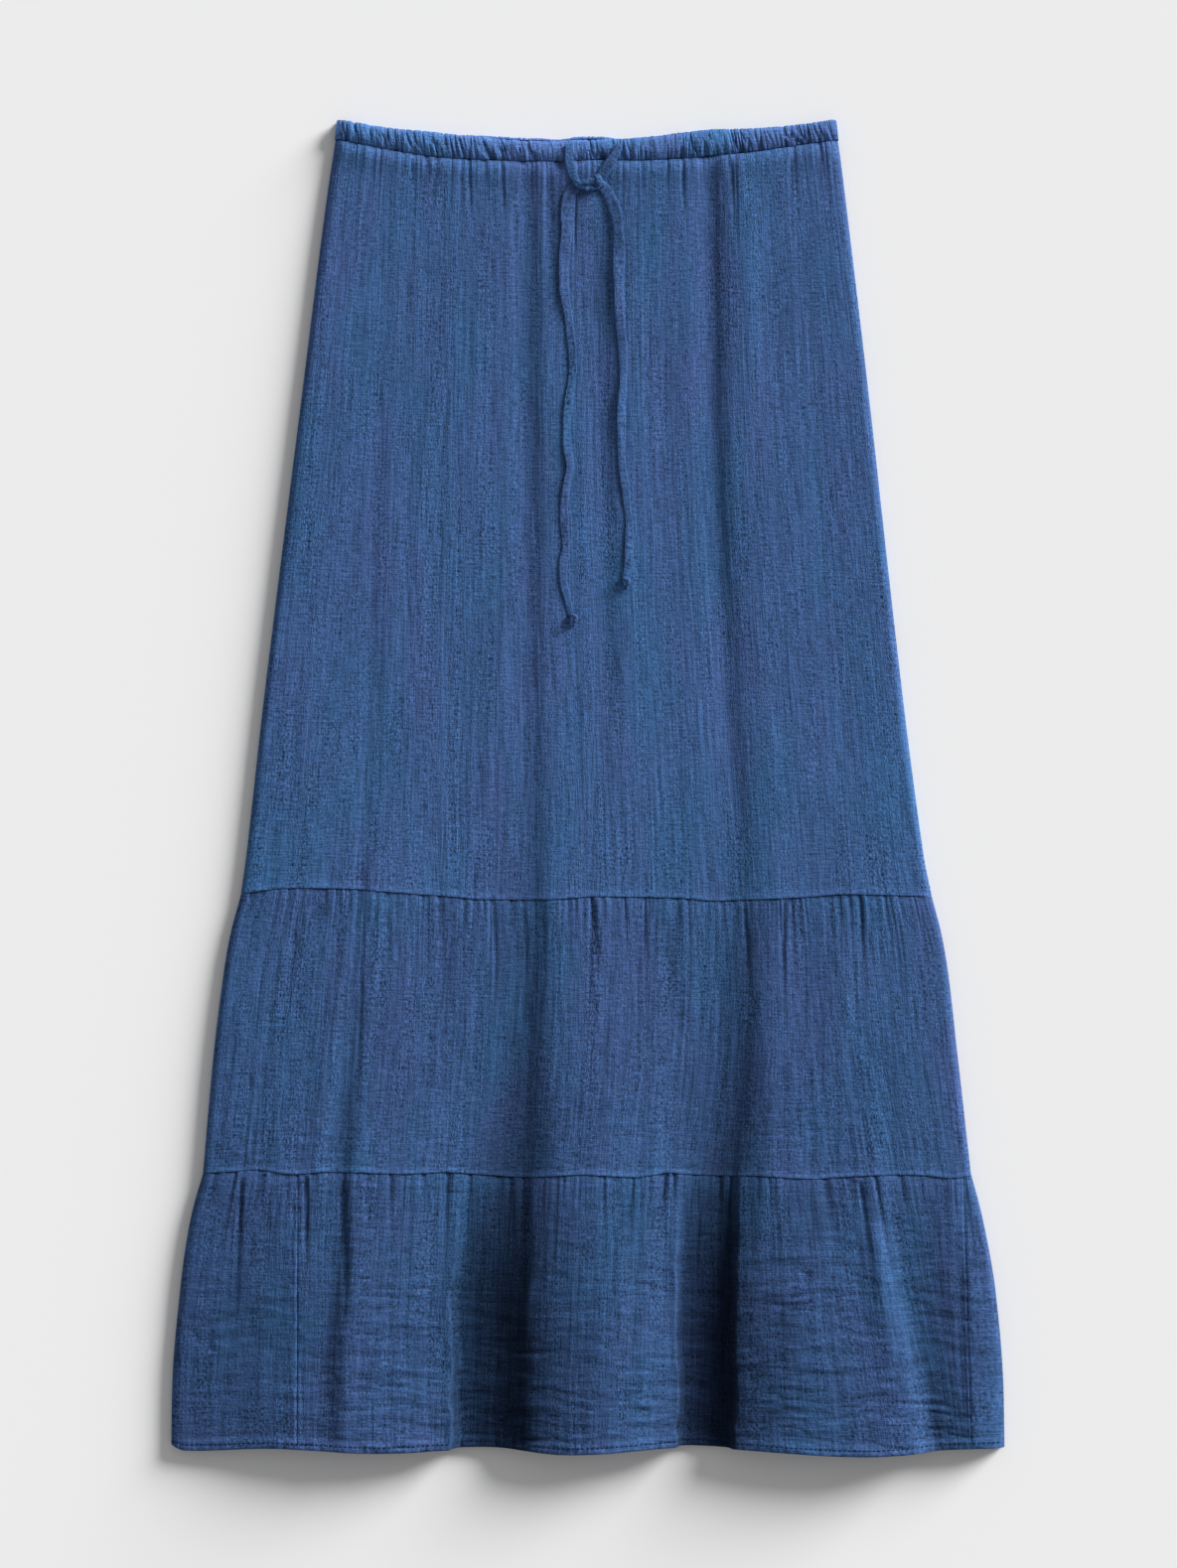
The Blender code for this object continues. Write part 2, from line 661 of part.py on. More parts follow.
def lump_centre_z(lump):
    """The height of a knot's middle, resting on the highest cloth under it."""
    spots = [top_of_skirt(lump.x + side * lump.across, lump.down + end * lump.along)
             for side in (-0.7, 0, 0.7) for end in (-0.7, 0, 0.7)]
    return max(spots) + SEAM_GAP + lump.high


def clear_of(lump, ring):
    """True where every point of a ring stands clear of a knot."""
    centre = lump_centre_z(lump)
    for x, down, z in ring:
        inside = ((x - lump.x) / (lump.across + SEAM_GAP)) ** 2
        inside += ((down - lump.down) / (lump.along + SEAM_GAP)) ** 2
        inside += ((z - centre) / (lump.high + SEAM_GAP)) ** 2
        if inside < 1.0:
            return False
    return True


RibbonPoint = namedtuple("RibbonPoint", "side high")
RIBBON = [RibbonPoint(-0.5, 0.5), RibbonPoint(-0.3, 0.0), RibbonPoint(0.3, 0.0), RibbonPoint(0.5, 0.5),
          RibbonPoint(0.3, 1.0), RibbonPoint(-0.3, 1.0)]


def ribbon(name, stops, knots):
    """A flat tie that lies on the skirt along its stops and ends just clear of its knots."""
    points = route(stops, TIE_STEP)
    rings = []
    for index, here in enumerate(points):
        before, after = points[max(index - 1, 0)], points[min(index + 1, len(points) - 1)]
        length = math.hypot(after.x - before.x, after.down - before.down)
        along = ((after.x - before.x) / length, (after.down - before.down) / length)
        side = (along[1], -along[0])
        under = SEAM_GAP + max(top_of_skirt(here.x + side[0] * s * here.width + along[0] * a * TIE_STEP,
                                            here.down + side[1] * s * here.width + along[1] * a * TIE_STEP)
                               for s in (-0.5, 0, 0.5) for a in (-0.6, -0.3, 0, 0.3, 0.6))
        rings.append([(here.x + side[0] * p.side * here.width, here.down + side[1] * p.side * here.width,
                       under + p.high * TIE_THICK) for p in RIBBON])
    kept = [ring for ring in rings if all(clear_of(knot, ring) for knot in knots)]
    return loft(name, kept, TIE_BLUE)


def knot(name, lump):
    """A small rounded knot that rests on the skirt."""
    builder = bmesh.new()
    bmesh.ops.create_uvsphere(builder, u_segments=14, v_segments=8, radius=1.0)
    centre = lump_centre_z(lump)
    for vertex in builder.verts:
        x, y, z = vertex.co
        vertex.co = world(lump.x + x * lump.across, lump.down - y * lump.along, centre + z * lump.high)
    return add_object(name, builder, TIE_BLUE)


for old in list(bpy.data.objects):
    bpy.data.objects.remove(old, do_unlink=True)
SKIRT = bpy.data.collections.new("tiered_maxi_skirt")
bpy.context.scene.collection.children.link(SKIRT)

# The band's two halves
front_rings = band_rings(FRONT_BAND, BAND_BACK_THICK + SEAM_GAP, (0.0, *SHOULDERS), False)
back_rings = band_rings(BACK_BAND, 0.0, (0.0, 0.5), True)
loft("waistband_front", front_rings, BAND_BLUE)
loft("waistband_back", back_rings, BAND_BLUE)

# The panels and tiers
cloth_wall("upper_front", piece_rows(UPPER_PIECE, front_row), GAUZE_BLUE)
cloth_wall("upper_back", piece_rows(plain(UPPER_PIECE), back_row), GAUZE_BLUE)
cloth_wall("middle_front", piece_rows(MIDDLE_PIECE, front_row), GAUZE_BLUE)
cloth_wall("middle_back", piece_rows(plain(MIDDLE_PIECE), back_row), GAUZE_BLUE)
cloth_wall("bottom_front", piece_rows(BOTTOM_PIECE, bottom_front_row), GAUZE_BLUE)
cloth_wall("bottom_back", piece_rows(BOTTOM_PIECE, bottom_back_row), GAUZE_BLUE)

# The tie
ribbon("tie_left_leg", LEFT_LEG, [TIE_KNOT])
ribbon("tie_right_leg", RIGHT_LEG, [TIE_KNOT])
ribbon("tie_left_tail", LEFT_TAIL, [TIE_KNOT, LEFT_TIP])
ribbon("tie_right_tail", RIGHT_TAIL, [TIE_KNOT, RIGHT_TIP])
knot("tie_knot", TIE_KNOT)
knot("tie_left_tip", LEFT_TIP)
knot("tie_right_tip", RIGHT_TIP)
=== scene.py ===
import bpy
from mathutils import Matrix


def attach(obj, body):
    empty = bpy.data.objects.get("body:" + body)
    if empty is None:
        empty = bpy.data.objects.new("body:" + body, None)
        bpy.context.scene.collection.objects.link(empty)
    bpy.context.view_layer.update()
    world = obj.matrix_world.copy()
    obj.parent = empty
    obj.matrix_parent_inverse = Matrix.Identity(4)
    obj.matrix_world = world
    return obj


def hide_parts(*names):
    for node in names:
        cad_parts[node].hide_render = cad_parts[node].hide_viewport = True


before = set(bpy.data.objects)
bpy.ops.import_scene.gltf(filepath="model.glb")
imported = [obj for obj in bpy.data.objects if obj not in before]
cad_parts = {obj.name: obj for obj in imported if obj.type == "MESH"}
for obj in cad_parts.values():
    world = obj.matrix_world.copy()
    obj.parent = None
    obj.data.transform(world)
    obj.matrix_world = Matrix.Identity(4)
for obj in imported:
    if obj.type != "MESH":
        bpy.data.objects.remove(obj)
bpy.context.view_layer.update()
print("pieces in the frame:", len(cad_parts))

# %% Tools for the lesson
import math
from collections import namedtuple

import bpy
import numpy as np

print("Blender", bpy.app.version_string)

# %% [markdown]
# ## The camera
#
# The photograph looks straight down on the skirt, so the camera hangs above its middle and looks along -Z. An
# orthographic camera would do for a flat thing, but the skirt has folds 25 mm high, and a real lens sees a little of
# their sides. A long lens from 3.2 m keeps that small. One photo pixel is 0.7 mm on the cloth.
# %% Camera
PIXEL = 0.0007
PHOTO_ROWS = 1579
CAMERA_HEIGHT = 3.2
CLOTH_LEVEL = 0.007
SENSOR = 24.0

camera = bpy.data.objects.new("camera", bpy.data.cameras.new("camera"))
bpy.context.scene.collection.objects.link(camera)
camera.location = (0.0004, 0.0021, CAMERA_HEIGHT)
camera.data.sensor_fit = "VERTICAL"
camera.data.sensor_height = SENSOR
camera.data.lens = SENSOR * (CAMERA_HEIGHT - CLOTH_LEVEL) / (PHOTO_ROWS * PIXEL)
bpy.context.scene.camera = camera
print("lens", round(camera.data.lens, 1), "mm")

# %% [markdown]
# ## The skirt's measurements
#
# Every size here is in millimetres. "down" is the distance from the highest point of the waist towards the hem,
# and "x" the distance to the right of the middle. The outline could be drawn as Bezier curves, but the folds, seams
# and gathers all have to ask where it lies at some level. So short tables hold what was measured, and a smooth curve
# is read through each column, for many places at a time.
# %% Tables and the curves through them
LENGTH = 940.0


def table(columns, *rows):
    """A small table, kept as one array for each named column."""
    return dict(zip(columns.split(), np.array(rows, float).T))


def curve(rows, column, at, key="down"):
    """The smooth curve through one column, read at any values of the key column."""
    keys, values = rows[key], rows[column]
    last = len(keys) - 1
    low, high = np.maximum(np.arange(last + 1) - 1, 0), np.minimum(np.arange(last + 1) + 1, last)
    slopes = (values[high] - values[low]) / (keys[high] - keys[low])
    at = np.clip(at, keys[0], keys[-1])
    i = np.searchsorted(keys[1:-1], at)
    span = keys[i + 1] - keys[i]
    t = (at - keys[i]) / span
    start = (2 * t**3 - 3 * t**2 + 1) * values[i] + (t**3 - 2 * t**2 + t) * span * slopes[i]
    return start + (3 * t**2 - 2 * t**3) * values[i + 1] + (t**3 - t**2) * span * slopes[i + 1]


def metres(x, down, z):
    """Points of the skirt in metres, in the frame's axes."""
    x, down, z = np.broadcast_arrays(x, down, z)
    return np.stack([x, LENGTH / 2 - down, z], -1) / 1000


print("the middle of the waist, in metres:", metres(0, 0, CLOTH_LEVEL * 1000))

# %% The outline and the seams
FIRST_SEAM, SECOND_SEAM = 547, 743
UPPER_EDGES = table("down left right", (0, -175.5, 173.2), (17.5, -178.6, 176.8), (69.3, -186.2, 183.4),
                    (181, -200.2, 196.7), (405, -228.2, 221.9), (517, -240.8, 236.6), (547, -245, 242.5))
MIDDLE_EDGES = table("down left right", (547, -245, 242.5), (573, -252, 249.2), (601, -256.9, 254.1),
                     (657, -263.9, 260.5), (743, -271.6, 270.2))
BOTTOM_EDGES = table("down left right", (743, -271.6, 270.2), (769, -279, 277.2), (797, -284.2, 283),
                     (825, -287.7, 287.5), (881, -292.8, 292.6), (940, -294, 294))
WAIST_LINE = table("x down", (-176, -0.4), (-164, 1.6), (-150, 4.4), (-134, 6.4), (-106, 8.8), (-71, 10.8),
                   (-45, 12.1), (-20, 12.9), (-9, 11.7), (2, 11.1), (14, 11.7), (23, 12.8), (34, 12), (52, 10.2),
                   (70, 7.9), (88, 6.8), (110, 6.4), (134, 4.9), (160, 1.9), (174, -0.4))
BAND_SEAM = table("x down", (-176, 13.8), (-150, 18.8), (-134, 21.9), (-106, 26), (-71, 28), (-30, 29), (7, 28),
                  (34, 28.4), (56, 27.6), (76, 26.2), (95, 24.4), (115, 22.5), (134, 19.8), (154, 16.8), (174, 14.2))
FRONT_DIP = table("x dip", (-112, 0), (-90, 1.1), (-70, 1.9), (-52, 2.6), (-32, 2.5), (-18, 2.1), (-7, 2.7),
                  (3, 3.2), (12, 2.3), (20, 0.9), (28, 0.7), (52, 1), (70, 0.8), (88, 0))
SEAM_1 = table("x down", (-246, 545.6), (-231, 543.5), (-218, 541.7), (-190, 541.5), (-163, 542.2), (-147, 543.6),
               (-119, 545.8), (-96, 547.4), (-77, 549.2), (-29, 549.4), (-12, 548.5), (0, 547.5), (33, 547.6),
               (66, 548.5), (89, 550.4), (105, 549.9), (139, 548.5), (161, 547.2), (178, 545.8), (217, 546.5),
               (243, 547.5))
SEAM_2 = table("x down", (-272, 742.4), (-253, 741.4), (-232, 740), (-214, 742.5), (-203, 742.7), (-186, 741.3),
               (-163, 741.7), (-124, 742.6), (-100, 741.5), (-74, 743.3), (-46, 745.4), (-18, 743.8), (-5, 743.2),
               (16, 744.1), (33, 744.9), (44, 743.8), (56, 741.7), (67, 742.8), (98, 744.5), (117, 744), (158, 745.9),
               (195, 743.8), (234, 743.5), (255, 745.6), (271, 744))
HEM_LINE = table("x down", (-294, 934), (-284, 937.8), (-220, 935.3), (-145, 938.2), (-67, 935.4), (-15, 939),
                 (72, 934.6), (190, 940), (255, 936.6), (294, 935.6))
BAND_HEIGHT = 16.3
LEFT_JOIN_X = -204.4
RIGHT_JOIN_TOP_X, RIGHT_JOIN_HEM_X = 264, 269.5
print("the skirt is", LENGTH, "mm long, and its casing", BAND_HEIGHT, "mm tall")


# %% The edges at any level
def side_edges(down):
    """The skirt's left and right edge at each level."""
    rows = [UPPER_EDGES, MIDDLE_EDGES, BOTTOM_EDGES]
    tier = (down >= FIRST_SEAM).astype(int) + (down >= SECOND_SEAM)
    return [np.choose(tier, [curve(edges, side, down) for edges in rows]) for side in ("left", "right")]


def right_join(down):
    """Where the bottom tier's right join lies at each level."""
    share = (down - SECOND_SEAM) / (LENGTH - SECOND_SEAM)
    return RIGHT_JOIN_TOP_X + (RIGHT_JOIN_HEM_X - RIGHT_JOIN_TOP_X) * share


left, right = side_edges(np.array([0, FIRST_SEAM - 1, SECOND_SEAM - 1, LENGTH]))
print("laid flat, waist, two seams and hem:", (right - left).round(), "mm")

# %% [markdown]
# ## The long folds
#
# The cloth rests about 7 mm high, and the hem stands up in soft waves, the tallest 25 mm. Between them run long
# folds, each with one steep side. They could be sculpted, but a table of sizes is easier to correct: each row says
# where a fold's foot lies at one level, how deep its hollow is, and how far it reaches. The lamp is low and stands to
# the upper right, so a steep side that faces left is dark and throws a shadow over the hollow beside it. The depth
# of each hollow was read from that shadow.
# %% Where the long folds run
RESTING_Z, LOWEST_Z, RIM_TOP_Z, RIM_Z = 7.0, 4.2, 3.9, 3.15
POSTS = ("outer_left", "inner_left", "inner_right", "outer_right")
POST_X = table("level " + " ".join(POSTS), (0, -138, -38, 88, 150), (230, -146, -38, 91, 168),
               (547, -157.5, -36, 112, 192), (657, -164, -39, 112, 200), (743, -172, -44, 103, 216),
               (840, -178, -47, 101, 234), (940, -181, -50, 100, 254))


def fold_lines(down):
    """Where the four long lines lie at each level, that the gathers' columns follow too."""
    return [curve(POST_X, name, down, "level") for name in POSTS]


print("the folds' lines at the hem, x:", [round(float(line)) for line in fold_lines(LENGTH)])

# %% The size of each fold
# foot: the bottom of the steep side. sink, rise: how far the hollow lies below the cloth round it, and the top
# above it. sharp: how much of the climb is a wall. hollow, back: how far each side reaches. crest: 1 where the
# hollow has the crossed section below, with a crest on its far side.
FOLD_SIZES = "level foot sink rise sharp hollow back crest"
INNER_LEFT = table(FOLD_SIZES, (0, -40, 1.2, 0.2, 0.5, 14, 16, 0), (60, -40, 1.8, 0.5, 0.6, 18, 20, 0),
                   (230, -40, 1.8, 0.5, 0.6, 20, 24, 0), (430, -39, 1.3, 0.2, 0.4, 24, 24, 0),
                   (547, -38, 2.2, 0.3, 0.4, 30, 28, 0), (657, -41, 4.2, 0.3, 0.3, 40, 34, 0),
                   (743, -44, 7, 0.1, 0.5, 46, 44, 0.1), (800, -45, 9.5, 0, 0.5, 50, 56, 0.8),
                   (846, -46, 11.5, 0, 0.6, 51, 58, 1), (940, -47, 12.5, 0, 0.62, 50, 58, 1))
INNER_RIGHT = table(FOLD_SIZES, (0, 88, 1, 0.8, 0.6, 14, 30, 0), (60, 88.5, 2.2, 1.4, 0.7, 18, 40, 0),
                    (230, 91, 2.6, 1.7, 0.7, 22, 44, 0), (400, 101, 2, 1, 0.5, 24, 44, 0),
                    (547, 111, 2, 0.5, 0.3, 28, 40, 0), (657, 110, 4.4, 0.5, 0.15, 38, 36, 0),
                    (743, 103, 7, 0.2, 0.5, 40, 44, 0.1), (800, 102, 9.5, 0, 0.6, 40, 46, 0.8),
                    (846, 101, 11, 0, 0.7, 39, 48, 1), (940, 100.5, 12.5, 0, 0.7, 37.5, 48, 1))
BETWEEN_TAILS = table(FOLD_SIZES, (0, 14, 0.5, 0.3, 0.6, 12, 30, 0), (60, 13.5, 1.1, 0.5, 0.6, 16, 34, 0),
                      (200, 13, 1.3, 0.6, 0.6, 16, 34, 0), (330, 14, 1.1, 0.5, 0.6, 16, 32, 0),
                      (450, 17, 0.3, 0.2, 0.4, 14, 30, 0), (547, 17, 0, 0, 0.4, 14, 30, 0))
OUTER_LEFT = table(FOLD_SIZES, (0, -138, 0.4, 0.2, 0.5, 10, 12, 0), (547, -157.5, 0.7, 0.3, 0.5, 12, 14, 0),
                   (743, -172, 2, 0.5, 0.6, 20, 20, 0), (800, -175, 2.6, 0.8, 0.5, 24, 24, 0),
                   (860, -179, 2.4, 0.8, 0.4, 26, 24, 0), (940, -181, 1, 0.3, 0.3, 26, 24, 0))
OUTER_RIGHT = table(FOLD_SIZES, (0, 166, 0, 0, 0, 40, 20, 0), (547, 200, 0, 0, 0, 40, 20, 0),
                    (743, 212, 1.5, 0.4, 0, 50, 22, 0), (783, 215, 3, 0.8, 0, 50, 22, 0),
                    (846, 226, 5, 1, 0, 50, 22, 0), (940, 240, 6.5, 0.8, 0, 50, 22, 0))
# For each fold: its table, 1 or -1 for the side that its wall stands on, and how wide the wall is.
WALLS = {"inner_left": (INNER_LEFT, 1, 8), "inner_right": (INNER_RIGHT, 1, 5), "tails": (BETWEEN_TAILS, 1, 5),
         "outer_left": (OUTER_LEFT, 1, 6), "outer_right": (OUTER_RIGHT, -1, 12)}
print("deepest hollow of each fold, mm:", {name: float(fold["sink"].max()) for name, (fold, _, _) in WALLS.items()})

# %% Sections and painted shades of the deep hollows
# The sections of the two deep hollows, from the crest at -1, past the foot at 0, to the end of the back at 1.
SECTIONS = table("across inner_left inner_right", (-1, 0, 0), (-0.97, 0.2, 0.2), (-0.91, 0.8, 0.82), (-0.84, 1, 1),
                 (-0.5, 0.88, 0.96), (-0.25, 0.72, 0.92), (-0.06, 0.5, 0.88), (0, 0.42, 0.8), (0.06, 0.34, 0.28),
                 (0.14, 0.25, 0.2), (0.5, 0.08, 0.07), (1, 0, 0))
# The painted shade across a fold: the share of light that is lost, without and with a crest, and how strongly at each
# level.
LOST_LIGHT = table("across plain crest", (-1.3, 0, 0), (-1.1, 0, 0.1), (-1, 0.06, 0.34), (-0.97, 0.1, 0.68),
                   (-0.93, 0.17, 0.8), (-0.86, 0.28, 0.68), (-0.5, 0.72, 0.84), (-0.2, 0.93, 0.98), (0, 0.7, 1),
                   (0.1, 0.48, 0.78), (0.2, 0.3, 0.55), (0.5, 0.08, 0.27), (1, 0, 0))
LOST_AT = table("down share", (0, 0.1), (400, 0.1), (547, 0.3), (600, 0.46), (657, 0.55), (743, 0.78), (780, 0.94),
                (940, 1.02))
print("strength of the shade at the second seam:", round(float(curve(LOST_AT, "share", SECOND_SEAM)), 2))


# %% Smooth steps and steady noise
def smooth(share):
    """From 0 to 1 without corners."""
    share = np.clip(share, 0, 1)
    return share * share * (3 - 2 * share)


def noise(u, v, seed):
    """Smooth uneven values from -1 to 1 that turn about once for every whole number of u and v."""
    lattice = np.random.default_rng(seed).uniform(-1, 1, (256, 256))
    u, v = np.broadcast_arrays(u, v)
    i, j = np.floor(u).astype(int), np.floor(v).astype(int)
    s, t = smooth(u - i), smooth(v - j)
    i, j, i2, j2 = i % 256, j % 256, (i + 1) % 256, (j + 1) % 256
    near = lattice[i, j] * (1 - s) + lattice[i2, j] * s
    return near * (1 - t) + (lattice[i, j2] * (1 - s) + lattice[i2, j2] * s) * t


print("three steady values of the noise:", noise(np.array([0.5, 1.5, 2.5]), 0.0, 1).round(2))


# %% The relief of one long fold
def past_foot(name, x, down):
    """How far each point lies past the foot of a fold, which wavers a little where the fold is deep."""
    fold, facing, wall = WALLS[name]
    foot, crest = (curve(fold, part, down, "level") for part in ("foot", "crest"))
    return facing * (x - foot) - crest * (1.7 * noise(down / 23, 0.0, 91 + wall) + 0.8 * noise(down / 8, 0.0, 95))


def fold_relief(name, x, down):
    """One long fold: its hollow, its steep side, and its rounded back."""
    fold, _, wall = WALLS[name]
    size = {part: curve(fold, part, down, "level") for part in fold if part != "level"}
    off = past_foot(name, x, down)
    climb = smooth((off + 6) / (0.75 * size["back"]))
    climb = climb + (smooth(off / wall) - climb) * size["sharp"] * (0.3 + 0.7 * size["crest"])
    sunk = (1 - smooth(-off / size["hollow"])) * (1 - climb)
    if name in SECTIONS:
        across = off / np.where(off < 0, size["hollow"], size["back"])
        sunk = sunk + (curve(SECTIONS, name, across, "across") - sunk) * size["crest"]
    top = smooth((off + 5) / (wall + 12)) * (1 - smooth((off - wall) / size["back"]))
    return size["rise"] * top - size["sink"] * sunk


across_fold = fold_relief("inner_left", np.linspace(-110, 10, 121), np.full(121, LENGTH - 60))
print("the left deep fold goes from", across_fold.min().round(1), "to", across_fold.max().round(1), "mm")

# %% Heights of the front
WAVES = table("x z", (-294, 7), (-260, 11), (-218, 18), (-170, 23), (-132, 21.5), (-100, 18), (-60, 18.5),
              (-20, 23), (15, 24.5), (42, 20.5), (64, 16.5), (90, 18), (104, 21), (125, 22.5), (150, 24),
              (190, 25.2), (218, 24.8), (240, 21), (268, 16), (284, 12.5), (294, 8))
WAVE_SHARE = table("down lift", (0, 0), (230, 0.08), (547, 0.12), (657, 0.26), (743, 0.34), (840, 0.78), (940, 1))
EDGE_ROLL = table("down width", (0, 7), (500, 5.5), (940, 4.5))


def lost_light(x, down):
    """How much painted shade the folds give each point, for the light lost where the cloth turns under at a fold's
    foot.
    """
    lost = np.zeros(np.broadcast(x, down).shape)
    for name, (fold, _, _) in WALLS.items():
        off = past_foot(name, x, down)
        across = off / curve(fold, "hollow", down, "level")
        across = np.where(off < 0, across, off / curve(fold, "back", down, "level"))
        if name in SECTIONS:
            crest = curve(fold, "crest", down, "level")
            plain, crested = (curve(LOST_LIGHT, kind, across, "across") for kind in ("plain", "crest"))
            lost = np.maximum(lost, curve(LOST_AT, "share", down) * (plain + (crested - plain) * crest))
        else:
            depth = np.clip(curve(fold, "sink", down, "level") / 14, 0, 1)
            lost = np.maximum(lost, depth * curve(LOST_LIGHT, "plain", across, "across"))
    return np.clip(lost, 0, 1)


def front_height(x, down):
    """How high the front lies, before its gathers and crinkles."""
    x, down = np.broadcast_arrays(x, down)
    height = RESTING_Z + (curve(WAVES, "z", x, "x") - RESTING_Z) * curve(WAVE_SHARE, "lift", down)
    for name in WALLS:
        height = height + fold_relief(name, x, down)
    left, right = side_edges(down)
    inside = np.clip(np.minimum(x - left, right - x) / curve(EDGE_ROLL, "width", down), 0, 1)
    return RIM_TOP_Z + (np.maximum(height, LOWEST_Z) - RIM_TOP_Z) * np.sqrt(1 - (1 - inside) ** 2)


hem_heights = front_height(np.linspace(-290, 290, 581), LENGTH - 5)
print("near the hem the front is", hem_heights.min().round(1), "to", hem_heights.max().round(1), "mm high")


# %% [markdown]
# ## Gathers
#
# A tier's upper edge is longer than the seam that it is sewn to, so it is drawn up in small gathers. Each is a
# narrow valley that fades down the cloth, with two round shoulders. A displacement texture could give such
# valleys, but not one by one. Here every gather has a number, a depth and a reach of its own, and the large ones are
# listed. It keeps its number all the way down, and the numbers are held to the long folds, so that the cloth
# seems to hang from its seam.
# %% Narrow valleys at uneven distances
def slits(u, along, seed):
    """Narrow valleys at uneven distances: up to 1 in the middle of each, and 0 between them."""
    strength = np.clip(0.5 + 0.75 * noise(u / 1.7, along * 1.3, seed + 1), 0, 1)
    return strength * np.exp(-((noise(u, along, seed) / 0.22) ** 2))


def uneven(number, stride):
    """A steady, uneven value from -1 to 1 for each number."""
    return np.sin(number * stride) * 0.62 + np.sin(number * stride * 2.31 + 1.7) * 0.38


print("uneven values for gathers 0 to 3:", uneven(np.arange(4), 1.3).round(2))

# %% Gathers, numbered along each seam
SHOULDER_RISE, SHOULDER_WIDTH = 0.3, 0.28


class Gathers:
    """The gathers along one seam, held to the lines in posts where those run down the cloth."""

    def __init__(self, count, posts, post_columns, large, depth, reach, fine_reach):
        self.count, self.posts, self.post_columns, self.fine_reach = count, posts, post_columns, fine_reach
        chance = np.random.default_rng(count + len(post_columns)).uniform(0, 1, (2, count + 1))
        self.depths = depth * (0.1 + 1.3 * chance[0] ** 2)
        self.reaches = reach * (0.5 + 1.1 * chance[1])
        for gather, its_depth, its_reach in large:
            self.depths[gather], self.reaches[gather] = its_depth, its_reach

    def x(self, column, down):
        """Where each column lies at each level."""
        column, down = np.broadcast_arrays(column, down)
        posts = np.stack([np.broadcast_to(post, down.shape) for post in self.posts(down)])
        ends = np.array(self.post_columns, float)
        span = np.searchsorted(ends[1:-1], column)
        share = (column - ends[span]) / (ends[span + 1] - ends[span])
        share = share + 0.3 * uneven(column, 1.3) * share * (1 - share) / np.sqrt(ends[span + 1] - ends[span])
        near, far = (np.take_along_axis(posts, (span + step)[None], 0)[0] for step in (0, 1))
        return near + (far - near) * share

    def relief(self, column, from_seam):
        """How far the cloth stands above or below the smooth front, this far from its seam."""
        numbers = np.arange(self.count + 1)
        nearest = np.clip(np.rint(column), 0, self.count).astype(int)
        fade = from_seam / self.reaches[nearest]
        off = column - nearest - 0.3 * uneven(nearest, 3.1) - 0.14 * uneven(nearest, 2.3) * fade
        width = 0.1 + 0.06 * np.minimum(fade, 2)
        valley = self.depths[nearest] * np.exp(-(fade**2)) * np.exp(-((off / width) ** 2))
        rise = SHOULDER_RISE * np.interp(column, numbers, self.depths)
        shoulder = rise * np.exp(-from_seam / np.interp(column, numbers, self.reaches))
        shoulder = shoulder * (1 - np.exp(-((off / SHOULDER_WIDTH) ** 2)))
        return shoulder - valley - self.small_gathers(column, from_seam)

    def small_gathers(self, column, from_seam):
        """The shallow valleys between the numbered ones, which fade out at uneven distances."""
        small = 0.6 * slits(column * 2.4, from_seam / 70, self.count + 1)
        small = small + 0.55 * slits(column * 3.7, from_seam / 55, self.count + 5)
        small = small + 0.22 * noise(column * 4.6, from_seam / 40, self.count + 3)
        return small * np.exp(-from_seam / (self.fine_reach * (1 + 0.75 * noise(column / 1.6, 0.0, self.count))))


print("a shoulder rises to", SHOULDER_RISE, "of its gather's depth")


# %% The gathers of this skirt
def panel_posts(down):
    """The lines that the upper panel's and middle tier's columns follow."""
    left, right = side_edges(down)
    return [left, *fold_lines(down), right]


def tier_posts(down):
    """The same for the bottom tier, with its two joins."""
    left, *folds, right = panel_posts(down)
    return [left, np.full(np.shape(left), LEFT_JOIN_X), *folds, right_join(down), right]


# For each seam: its number of gathers, the lines that they are held to and the gathers that lie on those, the large
# gathers with their depth and reach, and the usual depth, reach and reach of the small ones between.
WAIST = Gathers(46, panel_posts, [0, 6, 18, 34, 42, 46],
                [(12, 0.6, 34), (15, 0.5, 24), (19, 0.7, 50), (31, 0.7, 30), (36, 0.5, 60), (41, 0.6, 24)],
                0.64, 16, 15)
MIDDLE = Gathers(48, panel_posts, [0, 9, 20, 34, 42, 48],
                 [(9, 0.3, 60), (17, 0.7, 60), (20, 0.2, 20), (24, 1.3, 52), (34, 0.4, 50), (37, 0.8, 46)],
                 0.55, 24, 42)
BOTTOM = Gathers(48, tier_posts, [0, 6, 9, 20, 34, 43, 47, 48],
                 [(3, 0.1, 20), (7, 0.2, 54), (9, 0.6, 70), (20, 0.9, 60), (34, 1.2, 60), (39, 1.0, 36),
                  (42, 0.9, 62)], 0.65, 26, 36)
print("gathers along the three seams:", WAIST.count, MIDDLE.count, BOTTOM.count)
